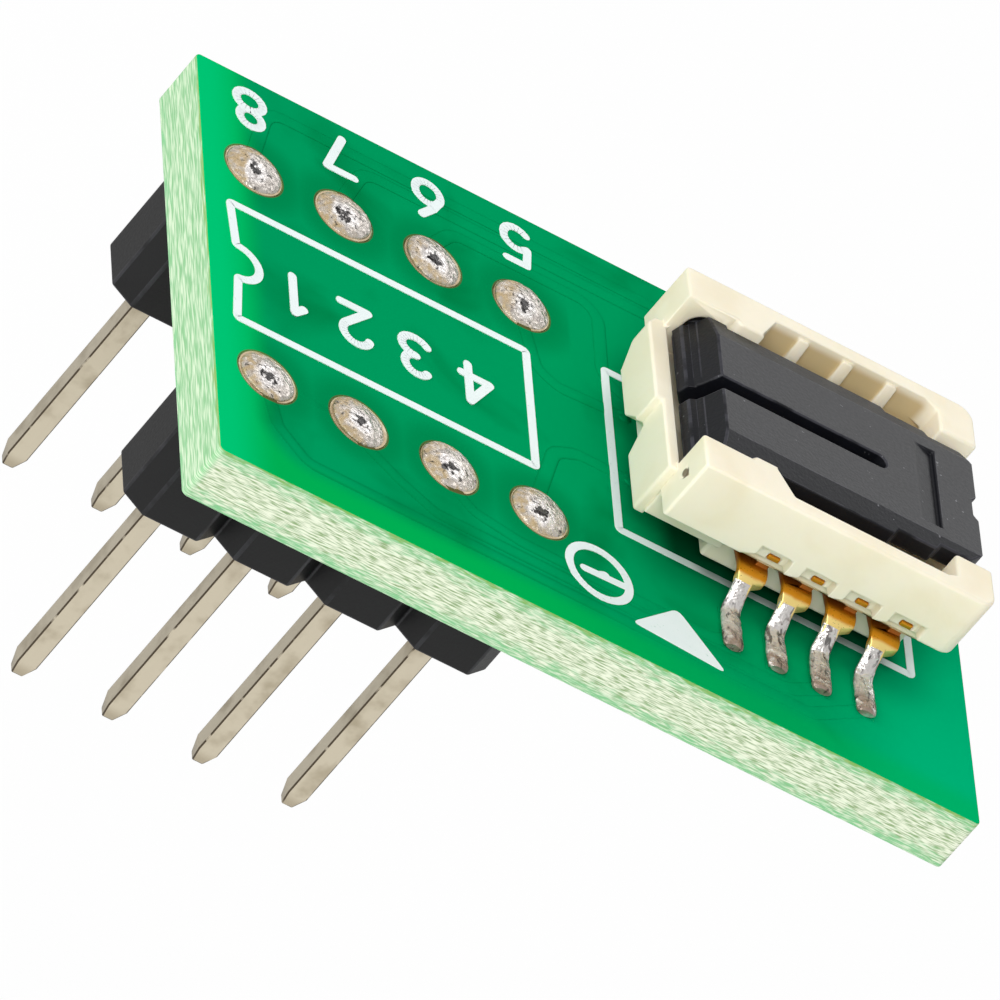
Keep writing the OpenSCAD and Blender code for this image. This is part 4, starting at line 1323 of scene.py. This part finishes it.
class ADAPTER_OT_stage(bpy.types.Operator):
    """Set the floor, the even sky, three soft lamps and the camera"""

    bl_idname = "adapter.stage"
    bl_label = "Stage"

    def execute(self, context):
        settings = context.scene.adapter.stage
        context.scene.view_settings.view_transform = "Standard"
        self.floor(settings)
        self.sky(context.scene, settings)
        for name, place in LAMP_PLACES.items():
            self.lamp(f"{name}_lamp", Vector(place), getattr(settings, name), Vector(settings.aim))
        self.camera(context.scene, settings)
        return {"FINISHED"}

    def floor(self, settings):
        """A wide floor under the pins."""
        level = CAD_BOX[0][2] - settings.floor_drop
        mesh = bpy.data.meshes.new("floor")
        corners = [(-1, -1), (1, -1), (1, 1), (-1, 1)]
        mesh.from_pydata([(x * FLOOR_REACH, y * FLOOR_REACH, level) for x, y in corners], [], [(0, 1, 2, 3)])
        mesh.materials.append(self.floor_material(settings))
        link(bpy.data.objects.new("floor", mesh))

    def floor_material(self, settings):
        """White floor that stays white to the camera, keeps a soft shadow and is clear from below."""
        material = bpy.data.materials.new("floor")
        material.use_nodes = True
        n = Nodes(material.node_tree)
        n.tree.nodes.clear()
        ray = n.add("ShaderNodeLightPath").outputs
        seen = n.most(n.most(ray["Is Camera Ray"], ray["Is Glossy Ray"]), ray["Is Transmission Ray"])
        matt = n.out("ShaderNodeBsdfDiffuse", {"Color": settings.floor[:]})
        depth = n.axes(n.out("ShaderNodeTexCoord", socket="Object"))["Y"]
        falloff = n.spread(n.step(depth, *FLOOR_FADE), 1.0, FLOOR_FAR)
        level = n.most(falloff, ray["Is Camera Ray"])
        white = n.out("ShaderNodeEmission", {"Color": settings.floor[:], "Strength": level})
        lit = n.out("ShaderNodeMixShader", {0: n.times(seen, FLOOR_GLOW), 1: matt, 2: white})
        below = n.out("ShaderNodeNewGeometry", socket="Backfacing")
        sided = n.out("ShaderNodeMixShader", {0: below, 1: lit, 2: n.out("ShaderNodeBsdfTransparent")})
        n.add("ShaderNodeOutputMaterial", {"Surface": sided})
        return material

    def sky(self, scene, settings):
        """An even light all round, a little darker at the horizon, that looks white to the camera."""
        scene.world = bpy.data.worlds.new("studio")
        scene.world.use_nodes = True
        n = Nodes(scene.world.node_tree)
        n.tree.nodes.clear()
        rise = n.axes(n.out("ShaderNodeTexCoord", socket="Generated"))["Z"]
        strength = n.spread(n.step(rise, -0.1, 0.8), settings.sky * HORIZON, settings.sky)
        light = n.out("ShaderNodeBackground", {"Color": WHITE, "Strength": strength})
        white = n.out("ShaderNodeBackground", {"Color": WHITE, "Strength": 1.0})
        ray = n.out("ShaderNodeLightPath", socket="Is Camera Ray")
        seen = n.out("ShaderNodeMixShader", {0: ray, 1: light, 2: white})
        n.add("ShaderNodeOutputWorld", {"Surface": seen})

    def lamp(self, name, place, power, aim):
        """A square soft lamp that faces the object."""
        lamp = bpy.data.lights.new(name, "AREA")
        lamp.energy = power
        lamp.size = LAMP_SIZE
        holder = link(bpy.data.objects.new(name, lamp))
        holder.matrix_world = Matrix.LocRotScale(place, (aim - place).to_track_quat("-Z", "Y"), None)

    def camera(self, scene, settings):
        """A long lens at the viewing angle, leaning by the roll."""
        turn, rise = settings.azimuth, settings.elevation
        toward = (math.sin(turn) * math.cos(rise), -math.cos(turn) * math.cos(rise), math.sin(rise))
        back = Vector(toward)
        level = Vector((math.cos(turn), math.sin(turn), 0.0))
        upward = back.cross(level)
        right = level * math.cos(settings.roll) + upward * math.sin(settings.roll)
        up = back.cross(right)
        camera = bpy.data.cameras.new("camera")
        camera.sensor_width = SENSOR_W
        camera.lens = settings.lens
        camera.clip_start = CLIP_START
        camera.clip_end = CLIP_END
        holder = link(bpy.data.objects.new("camera", camera))
        turned = Matrix((right, up, back)).transposed()
        place = Vector(settings.aim) + back * settings.distance
        holder.matrix_world = Matrix.Translation(place) @ turned.to_4x4()
        scene.camera = holder


class ADAPTER_PT_looks(bpy.types.Panel):
    """Buttons for each step of the adapter's looks"""

    bl_idname = "ADAPTER_PT_looks"
    bl_label = "IC socket adapter"
    bl_space_type = "VIEW_3D"
    bl_region_type = "UI"
    bl_category = "Adapter"

    def draw(self, context):
        for step in STEPS:
            self.layout.operator(step.bl_idname)


SETTINGS = (
    AdapterBoardSettings,
    AdapterPrintSettings,
    AdapterHeaderSettings,
    AdapterSolderSettings,
    AdapterSocketSettings,
    AdapterStageSettings,
    AdapterSettings,
)
STEPS = (
    ADAPTER_OT_board,
    ADAPTER_OT_traces,
    ADAPTER_OT_printing,
    ADAPTER_OT_headers,
    ADAPTER_OT_joints,
    ADAPTER_OT_socket_base,
    ADAPTER_OT_socket_lid,
    ADAPTER_OT_contacts,
    ADAPTER_OT_stage,
)
CLASSES = (*SETTINGS, *STEPS, ADAPTER_PT_looks)


def register():
    """Register the classes and hang the settings on the scene."""
    for cls in CLASSES:
        bpy.utils.register_class(cls)
    bpy.types.Scene.adapter = settings_of("Adapter", "Looks of the adapter", AdapterSettings)


def unregister():
    """Take the settings and the classes away again."""
    del bpy.types.Scene.adapter
    for cls in reversed(CLASSES):
        bpy.utils.unregister_class(cls)


def main():
    """Dress the whole adapter."""
    register()
    bpy.ops.adapter.board()
    bpy.ops.adapter.traces()
    bpy.ops.adapter.printing()
    bpy.ops.adapter.headers()
    bpy.ops.adapter.joints()
    bpy.ops.adapter.socket_base()
    bpy.ops.adapter.socket_lid()
    bpy.ops.adapter.contacts()
    bpy.ops.adapter.stage()


if __name__ == "__main__":
    main()
